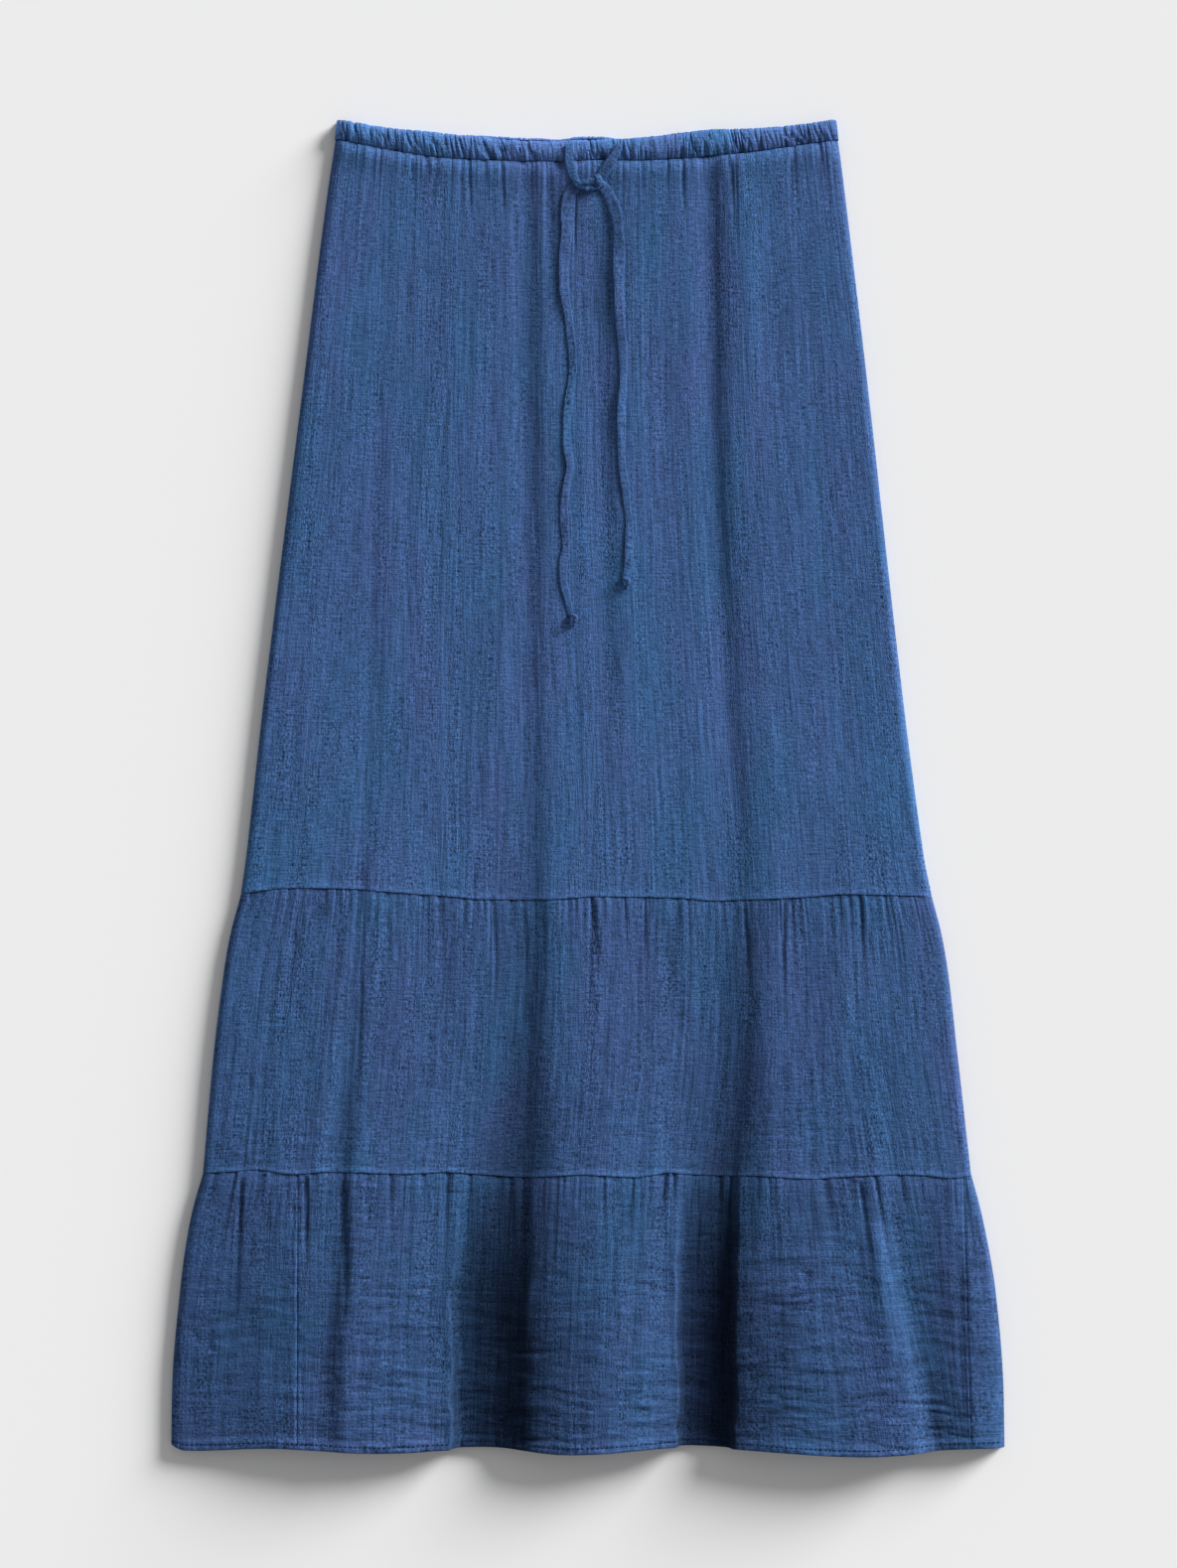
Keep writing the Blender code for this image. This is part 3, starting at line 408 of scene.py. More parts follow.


# %% [markdown]
# ## Crinkles and creases
#
# Double gauze is two thin layers, tacked together, that shrink unevenly in the wash. The cloth is left with fine
# lengthwise wrinkles a few millimetres apart, and with crosswise ones where the bottom tier has lain. A bump map
# could suggest them, but a low lamp throws real shadows in them, so they are in the mesh. They come from the steady
# noise above, stretched along the cloth. The few large creases are listed one by one, as in the photo.
# %% Fine wrinkles
def crinkle(column, down, seed):
    """The lengthwise wrinkles of the gauze, three to each gather or so."""
    wander = 0.7 * noise(column / 2.1, down / 60, seed)
    fine = noise(column * 5.2 + wander, down / 42, seed + 1)
    coarse = noise(column * 2.3 + wander, down / 75, seed + 2)
    patch = 0.75 + 0.5 * noise(column / 4, down / 80, seed + 3)
    lines = slits(column * 2.7 + wander, down / 50, seed + 6)
    return (0.13 * fine + 0.1 * coarse - 0.12 * lines) * patch + 0.12 * noise(column * 0.8, down / 130, seed + 4)


print("the lengthwise wrinkles are", np.ptp(crinkle(np.linspace(0, 46, 500), 300.0, 11)).round(2), "mm deep")

# %% Creases placed one by one
# Each runs from x, down to far_x, far_down. Those with a negative depth are ridges.
Crease = namedtuple("Crease", "x down far_x far_down width depth")
CREASES = [Crease(*row) for row in (
    (-124.6, 27, -123.5, 52, 1.2, 0.9), (-113.4, 22, -111, 50, 1.2, 1), (-84, 24, -82.5, 78, 1.4, 1.1),
    (-60.2, 28, -58.5, 92, 1.3, 0.8), (-27, 26, -25, 150, 3, 1.2), (-20.5, 24, -21, 44, 3.6, 2.2),
    (-9, 50, -9.6, 116, 1.1, 1), (4.5, 60, 9, 300, 8, 0.6), (67.2, 26, 68, 70, 1.2, 0.9),
    (100.8, 28, 104.3, 90, 1.5, 1.2), (142.8, 26, 144, 62, 1.2, 0.9), (-159, 600, -163.5, 715, 1.4, 0.7),
    (-66.5, 546, -64.4, 640, 1.8, 0.9), (-31.5, 549, -33.6, 610, 1.6, 0.5), (3.5, 548, 7.7, 620, 1.3, 1.1),
    (110, 550, 118, 655, 1.6, 0.6), (137.9, 548, 139, 610, 1.3, 1), (192.5, 547, 194, 596, 1.2, 0.9),
    (-243.8, 744, -248.9, 862, 1.6, 1.2), (-198.2, 743, -198.6, 812, 1.8, 2.4),
    (-172.9, 744, -168, 880, 2.6, 1.7), (63, 785, 64, 925, 3, -0.5), (191, 747, 200, 815, 1.6, 1.8),
    (201.6, 775, 219, 932, 6, -1.3), (262, 800, 266, 930, 4, 1))]


def creases_at(x, down):
    """How far the placed creases raise the cloth at each point. Each starts at once and fades out slowly."""
    relief = np.zeros(np.broadcast(x, down).shape)
    for crease in CREASES:
        along = (down - crease.down) / (crease.far_down - crease.down)
        middle = crease.x + (crease.far_x - crease.x) * along
        fade = np.clip(along / 0.08, 0, 1) * np.clip((1 - along) / 0.7, 0, 1) ** 1.3
        relief = relief - crease.depth * fade * np.exp(-(((x - middle) / crease.width) ** 2))
    return relief


print("creases placed by hand:", len(CREASES))

# %% Crosswise wrinkles
ACROSS = table("down share", (0, 0), (600, 0), (690, 0.3), (743, 0.35), (775, 0.45), (840, 0.95), (940, 1))


def crosswise(x, down):
    """The wrinkles that run across the lower tiers, strongest near the hem."""
    strength = curve(ACROSS, "share", down) * np.clip(0.85 + 0.6 * noise(x / 45, down / 26, 71), 0, 1.2)
    along, level = x / 24 + noise(x / 50, down / 40, 73), down / 3.6 + 1.1 * noise(x / 34, down / 50, 74)
    return strength * (0.46 * noise(along, level, 72) - 0.6 * slits(level / 1.4, along * 0.9, 76) +
                       0.24 * noise(x / 12, down / 2.4, 75))


across_hem = crosswise(np.linspace(-250, 250, 500), LENGTH - 40)
print("the crosswise wrinkles are", np.ptp(across_hem).round(2), "mm deep above the hem")

# %% [markdown]
# ## How a panel is shaped
#
# A front panel is cut flat, gathered, and sewn between two seams. It could start as a plane with a displacement
# modifier, but its columns have to fan out with the gathers and its rows have to follow uneven seams. So it is a
# dense grid of points: one column for every millimetre or so, and rows that crowd together at the seams. Each point
# takes its place from the seams and its height from the folds, gathers, crinkles and creases. The inner face needs
# none of that, so it is a plainer grid, and a rim of triangles closes the two.
# %% The three panels
# dip: how far the cloth dips into its upper seam. bulge: how far it swells below it. crinkled: how strongly
# it is wrinkled. seed: the noise that it uses. hem: whether its lower edge is turned up.
Panel = namedtuple("Panel", "gathers top bottom height dip bulge crinkled seed hem")
UPPER_PANEL = Panel(WAIST, BAND_SEAM, SEAM_1, 518.0, 0.8, 2.0, 1.1, 11, False)
MIDDLE_TIER = Panel(MIDDLE, SEAM_1, SEAM_2, 196.0, 0.4, 0.3, 1.5, 21, False)
BOTTOM_TIER = Panel(BOTTOM, SEAM_2, HEM_LINE, 194.0, 0.4, 0.5, 1.25, 31, True)
SEAM_GAP = 0.3
HEM_TURN = 4.3
FRONT_LOWEST_Z = 3.6
CUT_WIDTH = 500.0
print("heights of the panels:", [panel.height for panel in (UPPER_PANEL, MIDDLE_TIER, BOTTOM_TIER)], "mm")


# %% Places and heights of a front panel
def row_level(panel, x, from_top):
    """How far down each point of a row lies."""
    top = curve(panel.top, "down", x, "x") + SEAM_GAP / 2
    bottom = curve(panel.bottom, "down", x, "x") - SEAM_GAP / 2
    return top + (bottom - top) * from_top / panel.height


def place(panel, column, from_top):
    """The x and down of each column in each row."""
    x = panel.gathers.x(column, curve(panel.top, "down", 0.0, "x") + from_top)
    x = panel.gathers.x(column, row_level(panel, x, from_top))
    return x, row_level(panel, x, from_top)


def lower_edge(panel, x, down, above):
    """The thicker edge at the foot of a panel: a turned hem with a groove for its stitches, or a seam's ridge."""
    if panel.hem:
        turned = smooth((9.8 - above) / 5) * np.clip(above / 0.8, 0, 1) ** 0.5
        groove = 0.3 * np.exp(-(((above - HEM_TURN) / 0.6) ** 2))
        return turned * (0.9 + 0.3 * noise(x / 3.1, down / 9, 81)) - groove
    return 0.6 * np.exp(-(((above - 0.9) / 1.6) ** 2)) + 0.1 * noise(x / 2.2, down / 5, 82)


def upper_puff(panel, from_top):
    """How the cloth dips into its upper seam and swells below it."""
    return panel.bulge * np.exp(-(((from_top - 6) / 8) ** 2)) - panel.dip * np.exp(-from_top / 1.3)


def fine_relief(panel, column, x, down, from_top):
    """Gathers, crinkles, creases and edges: everything that lies on the long folds, and ends at the side seams."""
    relief = panel.gathers.relief(column, from_top) + crosswise(x, down) + creases_at(x, down)
    relief = relief + panel.crinkled * crinkle(column, down, panel.seed)
    relief = relief + lower_edge(panel, x, down, panel.height - from_top)
    side = np.minimum(column, panel.gathers.count - column)
    return relief * np.clip(side / 0.8, 0, 1) + upper_puff(panel, from_top) * np.clip(side, 0, 1)


shift = row_level(UPPER_PANEL, 0, UPPER_PANEL.height) - row_level(UPPER_PANEL, 0, 0)
print("the upper panel is", float(shift.round(1)), "mm long in the middle")


# %% The outer face of a front panel
def front_face(panel, columns, rows):
    """The outer face of a front panel: its points, the cloth's own directions, and its rubbed and shade-painted
    relief.
    """
    column, from_top = np.meshgrid(columns, rows)
    x, down = place(panel, column, from_top)
    relief = fine_relief(panel, column, x, down, from_top)
    z = np.maximum(front_height(x, down) + relief, FRONT_LOWEST_Z)
    # The last value paints the relief: its crests rubbed a little lighter, its valleys darker as painted shade.
    return x, down, z, cloth_grain(column, down, panel), np.clip(relief / 0.9, -1, 1)


def cloth_grain(column, down, panel):
    """The cloth's own coordinates in millimetres, across and along, on a cut of cloth that no other panel shares."""
    across = column * CUT_WIDTH / panel.gathers.count + 700 * panel.seed
    return np.stack(np.broadcast_arrays(across, down), -1)


def crowded(height, count):
    """Rows from seam to seam that lie closer together at both ends, where the edges turn under."""
    share = np.linspace(0, 1, count - 2)
    rows = height * (0.62 * share + 0.38 * (0.5 - 0.5 * np.cos(np.pi * share)))
    return np.sort(np.append(rows, [0.2, height - 0.2]))


print("rows of a tier near its seam:", crowded(MIDDLE_TIER.height, 150)[:5].round(1))


# %% Grids of points, and the rims between them
def grid_corners(shape, first):
    """The four corners of each face of a grid of points."""
    index = first + np.arange(shape[0] * shape[1]).reshape(shape)
    return np.stack([index[:-1, :-1], index[1:, :-1], index[1:, 1:], index[:-1, 1:]], -1).reshape(-1, 4)


def rim_of(shape, first):
    """The points round a grid's rim, each with how far round it is."""
    index = first + np.arange(shape[0] * shape[1]).reshape(shape)
    sides = [index[0], index[:, -1], index[-1, ::-1], index[::-1, 0]]
    places = [side + np.linspace(0, 1, len(points))[:-1] for side, points in enumerate(sides)]
    return np.concatenate([points[:-1] for points in sides]), np.concatenate(places)


def close_rim(fine, plain):
    """Triangles between two rims with different numbers of points."""
    (near, near_at), (far, far_at) = fine, plain
    near, far = [*near, near[0]], [*far, far[0]]
    near_at, far_at = [*near_at, 4.0, 9.0], [*far_at, 4.0, 9.0]
    faces = []
    i = j = 0
    while i < len(near) - 1 or j < len(far) - 1:
        if near_at[i + 1] <= far_at[j + 1]:
            faces.append((near[i], near[i + 1], far[j]))
            i += 1
        else:
            faces.append((near[i], far[j + 1], far[j]))
            j += 1
    return faces


print("a grid of 3 by 4 points has", len(grid_corners((3, 4), 0)), "faces")

# %% Cloth from points and faces
# The painted shade of the long folds darkens only the cloth above this height. Lower down are rims and inner faces.
PAINTED_SHADE_ABOVE_Z = 3


def cloth_object(name, points, faces, grain, rub_and_painted_shade, material):
    """A smooth piece of cloth, with its grain as a UV map, and its rubbing and painted shade as attributes."""
    points = points.reshape(-1, 3)
    mesh = bpy.data.meshes.new(name)
    mesh.from_pydata(points.tolist(), [], faces)
    corner = np.empty(len(mesh.loops), int)
    mesh.loops.foreach_get("vertex_index", corner)
    mesh.uv_layers.new(name="grain").data.foreach_set("uv", grain.reshape(-1, 2)[corner].ravel())
    x, y, z = points.T * 1000
    # Painted shade at the foot of each long fold, on the fronts only.
    hollow = lost_light(x, LENGTH / 2 - y) * (z > PAINTED_SHADE_ABOVE_Z) * name.endswith("_front")
    for kind, values in (("rubbing_and_painted_shade", rub_and_painted_shade.ravel()), ("hollow", hollow)):
        mesh.attributes.new(kind, "FLOAT", "POINT").data.foreach_set("value", values)
    mesh.shade_smooth()
    mesh.materials.append(material)
    piece = bpy.data.objects.new(name + "_cloth", mesh)
    bpy.context.scene.collection.objects.link(piece)
    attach(piece, "root")
    print(name, "faces:", len(mesh.polygons))
    return piece


def cloth_piece(name, outer, inner, material):
    """One closed piece of cloth. outer and inner hold x, down, z and grain, and outer also its rubbing and painted
    shade.
    """
    x, down, z, grain, rub_and_painted_shade = outer
    inner_x, inner_down, inner_z, inner_grain = inner
    points = np.concatenate([metres(x, down, z).reshape(-1, 3), metres(inner_x, inner_down, inner_z).reshape(-1, 3)])
    faces = [*grid_corners(x.shape, 0).tolist(), *grid_corners(inner_x.shape, x.size)[:, ::-1].tolist()]
    faces += close_rim(rim_of(x.shape, 0), rim_of(inner_x.shape, x.size))
    grains = np.concatenate([grain.reshape(-1, 2), inner_grain.reshape(-1, 2)])
    return cloth_object(name, points, faces, grains, np.append(rub_and_painted_shade, np.zeros(inner_x.size)), material)


def stand_for(piece, node):
    """Let a piece replace its node in the frame, by hiding that node."""
    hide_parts(node)
    return piece


# %% [markdown]
# ## Shader maths in plain expressions
#
# The gauze mixes seven patterns, and each sum or product of two of them takes a Math node. They could be linked one
# by one, but then nobody could read the recipe. A Shade wraps one number from a shader node, so that sums and
# products of Shades add the Math nodes by themselves. Every other node comes from one function, which sets the
# node's options first.
# %% Nodes and expressions
class Shade:
    """A number that varies over the cloth, which can be used in sums and products."""

    def __init__(self, tree, socket):
        self.tree, self.socket = tree, socket

    def maths(self, operation, *values):
        inputs = dict(enumerate(values))
        return Shade(self.tree, add_node(self.tree, "ShaderNodeMath", {"operation": operation}, inputs).outputs[0])

    def __add__(self, other):
        return self.maths("ADD", self, other)

    def __sub__(self, other):
        return self.maths("SUBTRACT", self, other)

    def __rsub__(self, other):
        return self.maths("SUBTRACT", other, self)

    def __mul__(self, other):
        return self.maths("MULTIPLY", self, other)

    __radd__, __rmul__ = __add__, __mul__

    def within(self, low, high):
        return self.maths("MAXIMUM", self.maths("MINIMUM", self, high), low)


def add_node(tree, kind, settings, inputs):
    """Any node: its options first, then a value, Shade or socket for each of its inputs."""
    node = tree.nodes.new(kind)
    for option, value in settings.items():
        setattr(node, option, value)
    for key, value in inputs.items():
        value = value.socket if isinstance(value, Shade) else value
        if isinstance(value, bpy.types.NodeSocket):
            tree.links.new(value, node.inputs[key])
        else:
            node.inputs[key].default_value = value
    return node


def new_material(name, plain_values):
    """A material, with the plain values of its Principled shader."""
    material = bpy.data.materials.new(name)
    material.use_nodes = True
    for socket, value in plain_values.items():
        material.node_tree.nodes["Principled BSDF"].inputs[socket].default_value = value
    return material


print("materials that came with the frame:", len(bpy.data.materials))

# %% [markdown]
# ## The gauze
#
# The yarn is dyed before it is woven, so no two threads are quite the same blue. Large soft patches drift from
# teal to violet, long streaks follow the warp, and light and dark flecks give the heathered look up close. A
# picture of cloth could be laid over it, but it would bring its own shadows, and its repeats would show. So each
# pattern is a noise of its own size, stretched along the cloth's grain. The crests of the crinkles are rubbed a
# little lighter, and their valleys are darker as painted shade. The foot of each long fold is darker still, as
# painted shade for the light that is lost where the cloth turns under.
# %% Patterns in the gauze
VIOLET_BLUE = (0.0455, 0.0815, 0.209, 1.0)
TEAL_BLUE = (0.0335, 0.0935, 0.216, 1.0)
# For each pattern: the size of its patches in millimetres, across and along the warp, how many finer layers it has,
# and a shift that sets it apart from the others.
PATTERNS = {"dye": (60, 150, 2.0, 3.1), "clouds": (46, 80, 2.0, 8.7), "streaks": (3.6, 150, 1.0, 5.3),
            "warp": (1.5, 24, 1.0, 1.9), "flecks": (1.15, 2.3, 1.0, 6.1), "bands": (12, 80, 1.0, 9.9),
            "weft": (9, 1.3, 1.0, 2.2)}
# How strongly the painted shade of the hollows darkens the cloth.
HOLLOW_PAINTED_SHADE = 0.83


def mottle(tree, grain, across, along, detail, shift):
    """Uneven values round zero over the cloth."""
    scale = {"Vector": grain, "Scale": (1 / across, 1 / along, 1.0), "Location": (shift, shift * 0.7, 0)}
    place_at = add_node(tree, "ShaderNodeMapping", {}, scale).outputs[0]
    inputs = {"Vector": place_at, "Scale": 1.0, "Detail": detail, "Roughness": 0.6}
    return Shade(tree, add_node(tree, "ShaderNodeTexNoise", {"noise_dimensions": "2D"}, inputs).outputs[0]) - 0.5


def attribute(tree, name):
    """A number that is kept with each point of the cloth."""
    return Shade(tree, add_node(tree, "ShaderNodeAttribute", {"attribute_name": name}, {}).outputs["Fac"])


print("patterns in the gauze:", ", ".join(PATTERNS))


# %% The gauze material
def gauze(name, lift):
    """The skirt's cloth. lift brightens it. It is painted light and shade: the pieces get lit and shaded copies of
    one gauze.
    """
    material = new_material(name, {"Base Color": VIOLET_BLUE, "Roughness": 0.92, "Sheen Weight": 0.02,
                                   "Sheen Roughness": 0.5, "Specular IOR Level": 0.03})
    tree = material.node_tree
    shader = tree.nodes["Principled BSDF"]
    grain = add_node(tree, "ShaderNodeUVMap", {"uv_map": "grain"}, {}).outputs["UV"]
    dye, clouds, streaks, warp, flecks, bands, weft = (mottle(tree, grain, *size) for size in PATTERNS.values())
    colours = {0: (0.5 + 1.8 * dye).within(0.0, 1.0), 6: VIOLET_BLUE, 7: TEAL_BLUE}
    tint = add_node(tree, "ShaderNodeMix", {"data_type": "RGBA"}, colours).outputs[2]
    strong = (0.65 + 2.2 * bands).within(0.25, 1.4)
    bright = 1.0 + 0.25 * clouds + 0.42 * streaks + 0.7 * warp + 2.0 * flecks * strong + 0.9 * weft
    # Crests rubbed lighter, and creases darker as painted shade.
    bright = bright + 0.22 * attribute(tree, "rubbing_and_painted_shade")
    # Painted shade: the hollows at the foot of the long folds are darkened, and lift makes lit and shaded copies of
    # the gauze.
    bright = (bright * lift).within(0.25, 2.2) * (1.0 - HOLLOW_PAINTED_SHADE * attribute(tree, "hollow"))
    shaded = add_node(tree, "ShaderNodeVectorMath", {"operation": "SCALE"}, {0: tint, "Scale": bright})
    tree.links.new(shaded.outputs[0], shader.inputs["Base Color"])
    relief = {"Height": warp + 1.2 * flecks + 0.8 * weft, "Strength": 0.5, "Distance": 0.0005}
    tree.links.new(add_node(tree, "ShaderNodeBump", {}, relief).outputs[0], shader.inputs["Normal"])
    return material


# Painted light and shade: lit and shaded copies of one gauze, darker tier by tier towards the hem, brightest on the
# band.
UPPER_GAUZE = gauze("upper_gauze", 1.08)
MIDDLE_GAUZE = gauze("middle_gauze", 0.96)
BOTTOM_GAUZE = gauze("bottom_gauze", 0.82)
BAND_GAUZE = gauze("band_gauze", 1.48)
TIE_GAUZE = gauze("tie_gauze", 1.04)
print("materials with the five kinds of gauze:", len(bpy.data.materials))

# %% [markdown]
# ## The upper panel and the middle tier
#
# The upper panel hangs from the band, and each tier from the piece above. One long sheet with grooves for seams
# would be simpler, but a seam ends one piece of cloth and gathers the next. So each panel is a closed piece of its
# own, 0.3 mm from its neighbours. Its outer face has a millimetre between columns, fine enough for the crinkles.
# Near the sides the cloth rolls over to its side seam.
# %% Front panels
WALL = 0.9
LOOK_ASIDE = (-4.5, -2.2, 0, 2.2, 4.5)


def spread(first, last, per_gather):
    """Evenly spaced columns from one gather to another."""
    return np.linspace(first, last, (last - first) * per_gather + 1)


def inner_face(panel, first, last):
    """The plain inner face between two gathers, under the lowest cloth beside each point."""
    column, from_top = np.meshgrid(spread(first, last, 3), crowded(panel.height, 40))
    x, down = place(panel, column, from_top)
    left, right = side_edges(down)
    lowest = np.minimum.reduce([front_height(x + step, down) for step in LOOK_ASIDE])
    z = np.maximum(lowest - WALL - 0.5, RIM_Z) - panel.dip * np.exp(-from_top / 7.0)
    return np.clip(x, left + WALL, right - WALL), down, np.maximum(z, RIM_Z - 0.9), cloth_grain(column, down, panel)


def with_rims(face):
    """The same face with one more column at each side, down to the side seam."""
    x, down, z, grain, rub_and_painted_shade = (np.concatenate([part[:, :1], part, part[:, -1:]], 1) for part in face)
    z[:, 0] = z[:, -1] = RIM_Z
    return x, down, z, grain, rub_and_painted_shade


def front_panel(name, panel, row_count, material):
    """A whole front panel, from side seam to side seam."""
    count = panel.gathers.count
    outer = with_rims(front_face(panel, spread(0, count, 11), crowded(panel.height, row_count)))
    return stand_for(cloth_piece(name, outer, inner_face(panel, 0, count), material), name)


upper_front = front_panel("upper_front", UPPER_PANEL, 160, UPPER_GAUZE)
middle_front = front_panel("middle_front", MIDDLE_TIER, 150, MIDDLE_GAUZE)

# %% [markdown]
# ## The bottom tier
#
# Its front lies between two joins, and its back wraps round both sides to meet it on top. A join could be a line in
# the material, but in a low light its dip and its puckers show most. So two pieces meet there, both sunk and
# puckered beside the join. The back is one band of cloth: from the right join over the side, flat along the table,
# and up over the left side to the left join.
# %% Bottom tier, front
LEFT_JOIN, RIGHT_JOIN = 6, 47


def sink_joins(column, z, from_top):
    """The cloth dips into each join, and is puckered beside it."""
    off = np.minimum(np.abs(column - LEFT_JOIN), np.abs(column - RIGHT_JOIN))
    pucker = np.clip(0.3 + noise(from_top / 4.5, column * 0.0, 83), -0.3, 1)
    return z - 0.25 * np.exp(-((off / 0.06) ** 2)) + 0.45 * pucker * np.exp(-(((off - 0.16) / 0.12) ** 2))


def tier_face(first, last, per_gather, rows):
    """The bottom tier's outer face between two gathers."""
    columns = spread(first, last, per_gather)
    x, down, z, grain, rub_and_painted_shade = front_face(BOTTOM_TIER, columns, rows)
    return x, down, sink_joins(columns[None], z, rows[:, None]), grain, rub_and_painted_shade


outer = tier_face(LEFT_JOIN, RIGHT_JOIN, 12, crowded(BOTTOM_TIER.height, 185))
bottom_front = cloth_piece("bottom_front", outer, inner_face(BOTTOM_TIER, LEFT_JOIN, RIGHT_JOIN), BOTTOM_GAUZE)
stand_for(bottom_front, "bottom_front")


# %% A wall for pieces with one grid
def select_only(*pieces):
    """Select these pieces alone, with the first one active, because an operator acts on all that is selected."""
    bpy.ops.object.select_all(action="DESELECT")
    for piece in pieces:
        piece.select_set(True)
    bpy.context.view_layer.objects.active = pieces[0]


def walled(name, face, material):
    """A piece of cloth from one grid, given its thickness on the inside."""
    x, down, z, grain, rub_and_painted_shade = face
    piece = cloth_object(name, metres(x, down, z), grid_corners(x.shape, 0).tolist(), grain, rub_and_painted_shade, material)
    select_only(piece)
    thickness = piece.modifiers.new("cloth thickness", "SOLIDIFY")
    thickness.thickness, thickness.offset = WALL / 1000, -1.0
    bpy.ops.object.modifier_apply(modifier=thickness.name)
    return piece


print("a wall is", WALL, "mm thick")

# %% [markdown]
# ## The backs
#
# The back lies on the table, so its outer face is at z = 0. A mirrored front would stand on its own folds, and a
# plain plate would look like card. So the back has gathers and crinkles of its own that can only rise from the
# table, as shallow grooves, and it turns up at the sides to meet the front in the side seams.
# %% Backs that lie on the table
BEND = 1.9


def underside(panel, points_across, rows):
    """The flat underside, from the skirt's right edge, where share is 0, to its left one, where it is 1."""
    share, from_top = np.meshgrid(np.linspace(0, 1, points_across), rows)
    count = panel.gathers.count
    column = count * (1 - share)
    right, _ = place(panel, np.full_like(column, count), from_top)
    left, _ = place(panel, np.zeros_like(column), from_top)
    x = right - BEND + (left - right + 2 * BEND) * share
    down = row_level(panel, x, from_top)
    mirrored = count - column + 0.37
    lift = -panel.gathers.relief(mirrored, from_top) * 0.55 + 0.5 * crinkle(mirrored, down, panel.seed + 40)
    lift = lift + panel.dip * 0.4 * np.exp(-from_top / 6)
    if panel.hem:
        lift = lift + 0.5 * crosswise(-x, down) + 0.4 * np.exp(-(((panel.height - from_top - HEM_TURN) / 0.8) ** 2))
    z = np.maximum(lift, 0) * np.clip(np.minimum(share, 1 - share) / 0.02, 0, 1)
    # Its grooves are darker as painted shade, and where it lies flat it is rubbed lighter.
    return x, down, z, cloth_grain(column + 61, down, panel), -np.clip(lift / 0.9, -1, 1)


print("the back lies flat from", BEND, "mm inside its edges")

# %% Sides that turn up
# How far inside the edge, and how high, each of three lines runs: the rim at the side seam, the bend and the foot.
TURN_UP = ((0, 2.85), (0, 2.1), (0.5, 0.75))


def turned_up(panel, rows, side):
    """The lines of the cloth that turns up from the table at the right side, 1, or the left one, -1."""
    column = np.full((len(rows), 1), panel.gathers.count if side > 0 else 0.0)
    x, down = place(panel, column, rows[:, None])
    grain = cloth_grain(column, down, panel)
    return [(x - side * inside, down, np.full_like(x, z), grain, np.zeros_like(x)) for inside, z in TURN_UP]


def side_by_side(*parts):
    """Grids joined into one, from right to left."""
    return tuple(np.concatenate(layer, 1) for layer in zip(*parts))


def back_panel(name, panel, row_count, material):
    """A flat back from its right side seam to its left one."""
    rows = crowded(panel.height, row_count)
    right, left = turned_up(panel, rows, 1), turned_up(panel, rows, -1)
    face = side_by_side(*right, underside(panel, 300, rows), *left[::-1])
    return stand_for(walled(name, face, material), name)


upper_back = back_panel("upper_back", UPPER_PANEL, 90, UPPER_GAUZE)
middle_back = back_panel("middle_back", MIDDLE_TIER, 60, MIDDLE_GAUZE)

# %% Bottom tier, back
rows = crowded(BOTTOM_TIER.height, 130)
right, left = turned_up(BOTTOM_TIER, rows, 1)[1:], turned_up(BOTTOM_TIER, rows, -1)[1:]
face = side_by_side(tier_face(RIGHT_JOIN, 48, 25, rows), *right, underside(BOTTOM_TIER, 150, rows), *left[::-1],
                    tier_face(0, LEFT_JOIN, 12, rows))
bottom_back = stand_for(walled("bottom_back", face, BOTTOM_GAUZE), "bottom_back")

# %% [markdown]
# ## The waistband
#
# A casing with elastic inside: two padded halves whose cloth is drawn up in tight, slanting gathers. A curve with a
# bevel would give an even tube, with none of the gathers that the elastic makes. So each half is a ring of points,
# carried along the waist and pinched at each gather. The back's rim rises a little between the tie's two legs, and
# the front's dips there, so that the back shows above the front.
# %% The band's sections
# share: how far down the band each point lies. z: how high. swell: how strongly the gathers pinch it.
FRONT_SECTION = table("share z swell", (0.03, 0, 0), (0, 1.9, 0.25), (0.12, 4.1, 0.7), (0.3, 5, 0.9), (0.5, 5.3, 1),
                      (0.7, 4.95, 1), (0.87, 4, 1), (0.98, 2.8, 0.6), (1, 0, 0))
BACK_SECTION = table("share z swell", (0.02, 0, 0), (0, 2, 0.6), (0.05, 3.3, 0.4), (0.1, 3.8, 0.3), (0.16, 2.7, 0.1),
                     (0.3, 3.6, 0), (0.94, 4, 0), (1, 2.8, 0), (1, 0, 0))
FRONT_BAND_Z = 4.3
BACK_DIP = 0.2


def around(section, count):
    """Evenly spaced points round a closed section, with its corners rounded."""
    corners = len(section["share"])
    at = np.arange(count) * corners / count
    i, t = np.floor(at).astype(int), at % 1
    rounded = {}
    for name, values in section.items():
        a, b, c, d = (values[(i + step) % corners] for step in (-1, 0, 1, 2))
        rounded[name] = 0.5 * (2 * b + (c - a) * t + (2 * a - 5 * b + 4 * c - d) * t**2 +
                               (3 * b - a - 3 * c + d) * t**3)
    return rounded


print("the front band stands", FRONT_BAND_Z + around(FRONT_SECTION, 40)["z"].max().round(1), "mm high")


# %% The band's gathers and its rings
def band_gathers(column, share, seed):
    """How strongly each point is drawn in, by the large gathers alone and by all of them."""
    slanted = column - 0.4 * (share - 0.5) * (0.7 + 0.8 * noise(column / 5, 0.0, seed + 5))
    drawn = 1.6 * slits(slanted * 2.9, share * 0.7, seed) + 1.4 * slits(slanted * 4.3, share * 1.1, seed + 7)
    pinch = drawn * (0.45 + 0.8 * share) - 0.35 + 0.3 * noise(slanted * 1.9, share * 1.3, seed + 3)
    return drawn, pinch + 0.22 * noise(slanted * 5.5, share * 2.2, seed + 1)


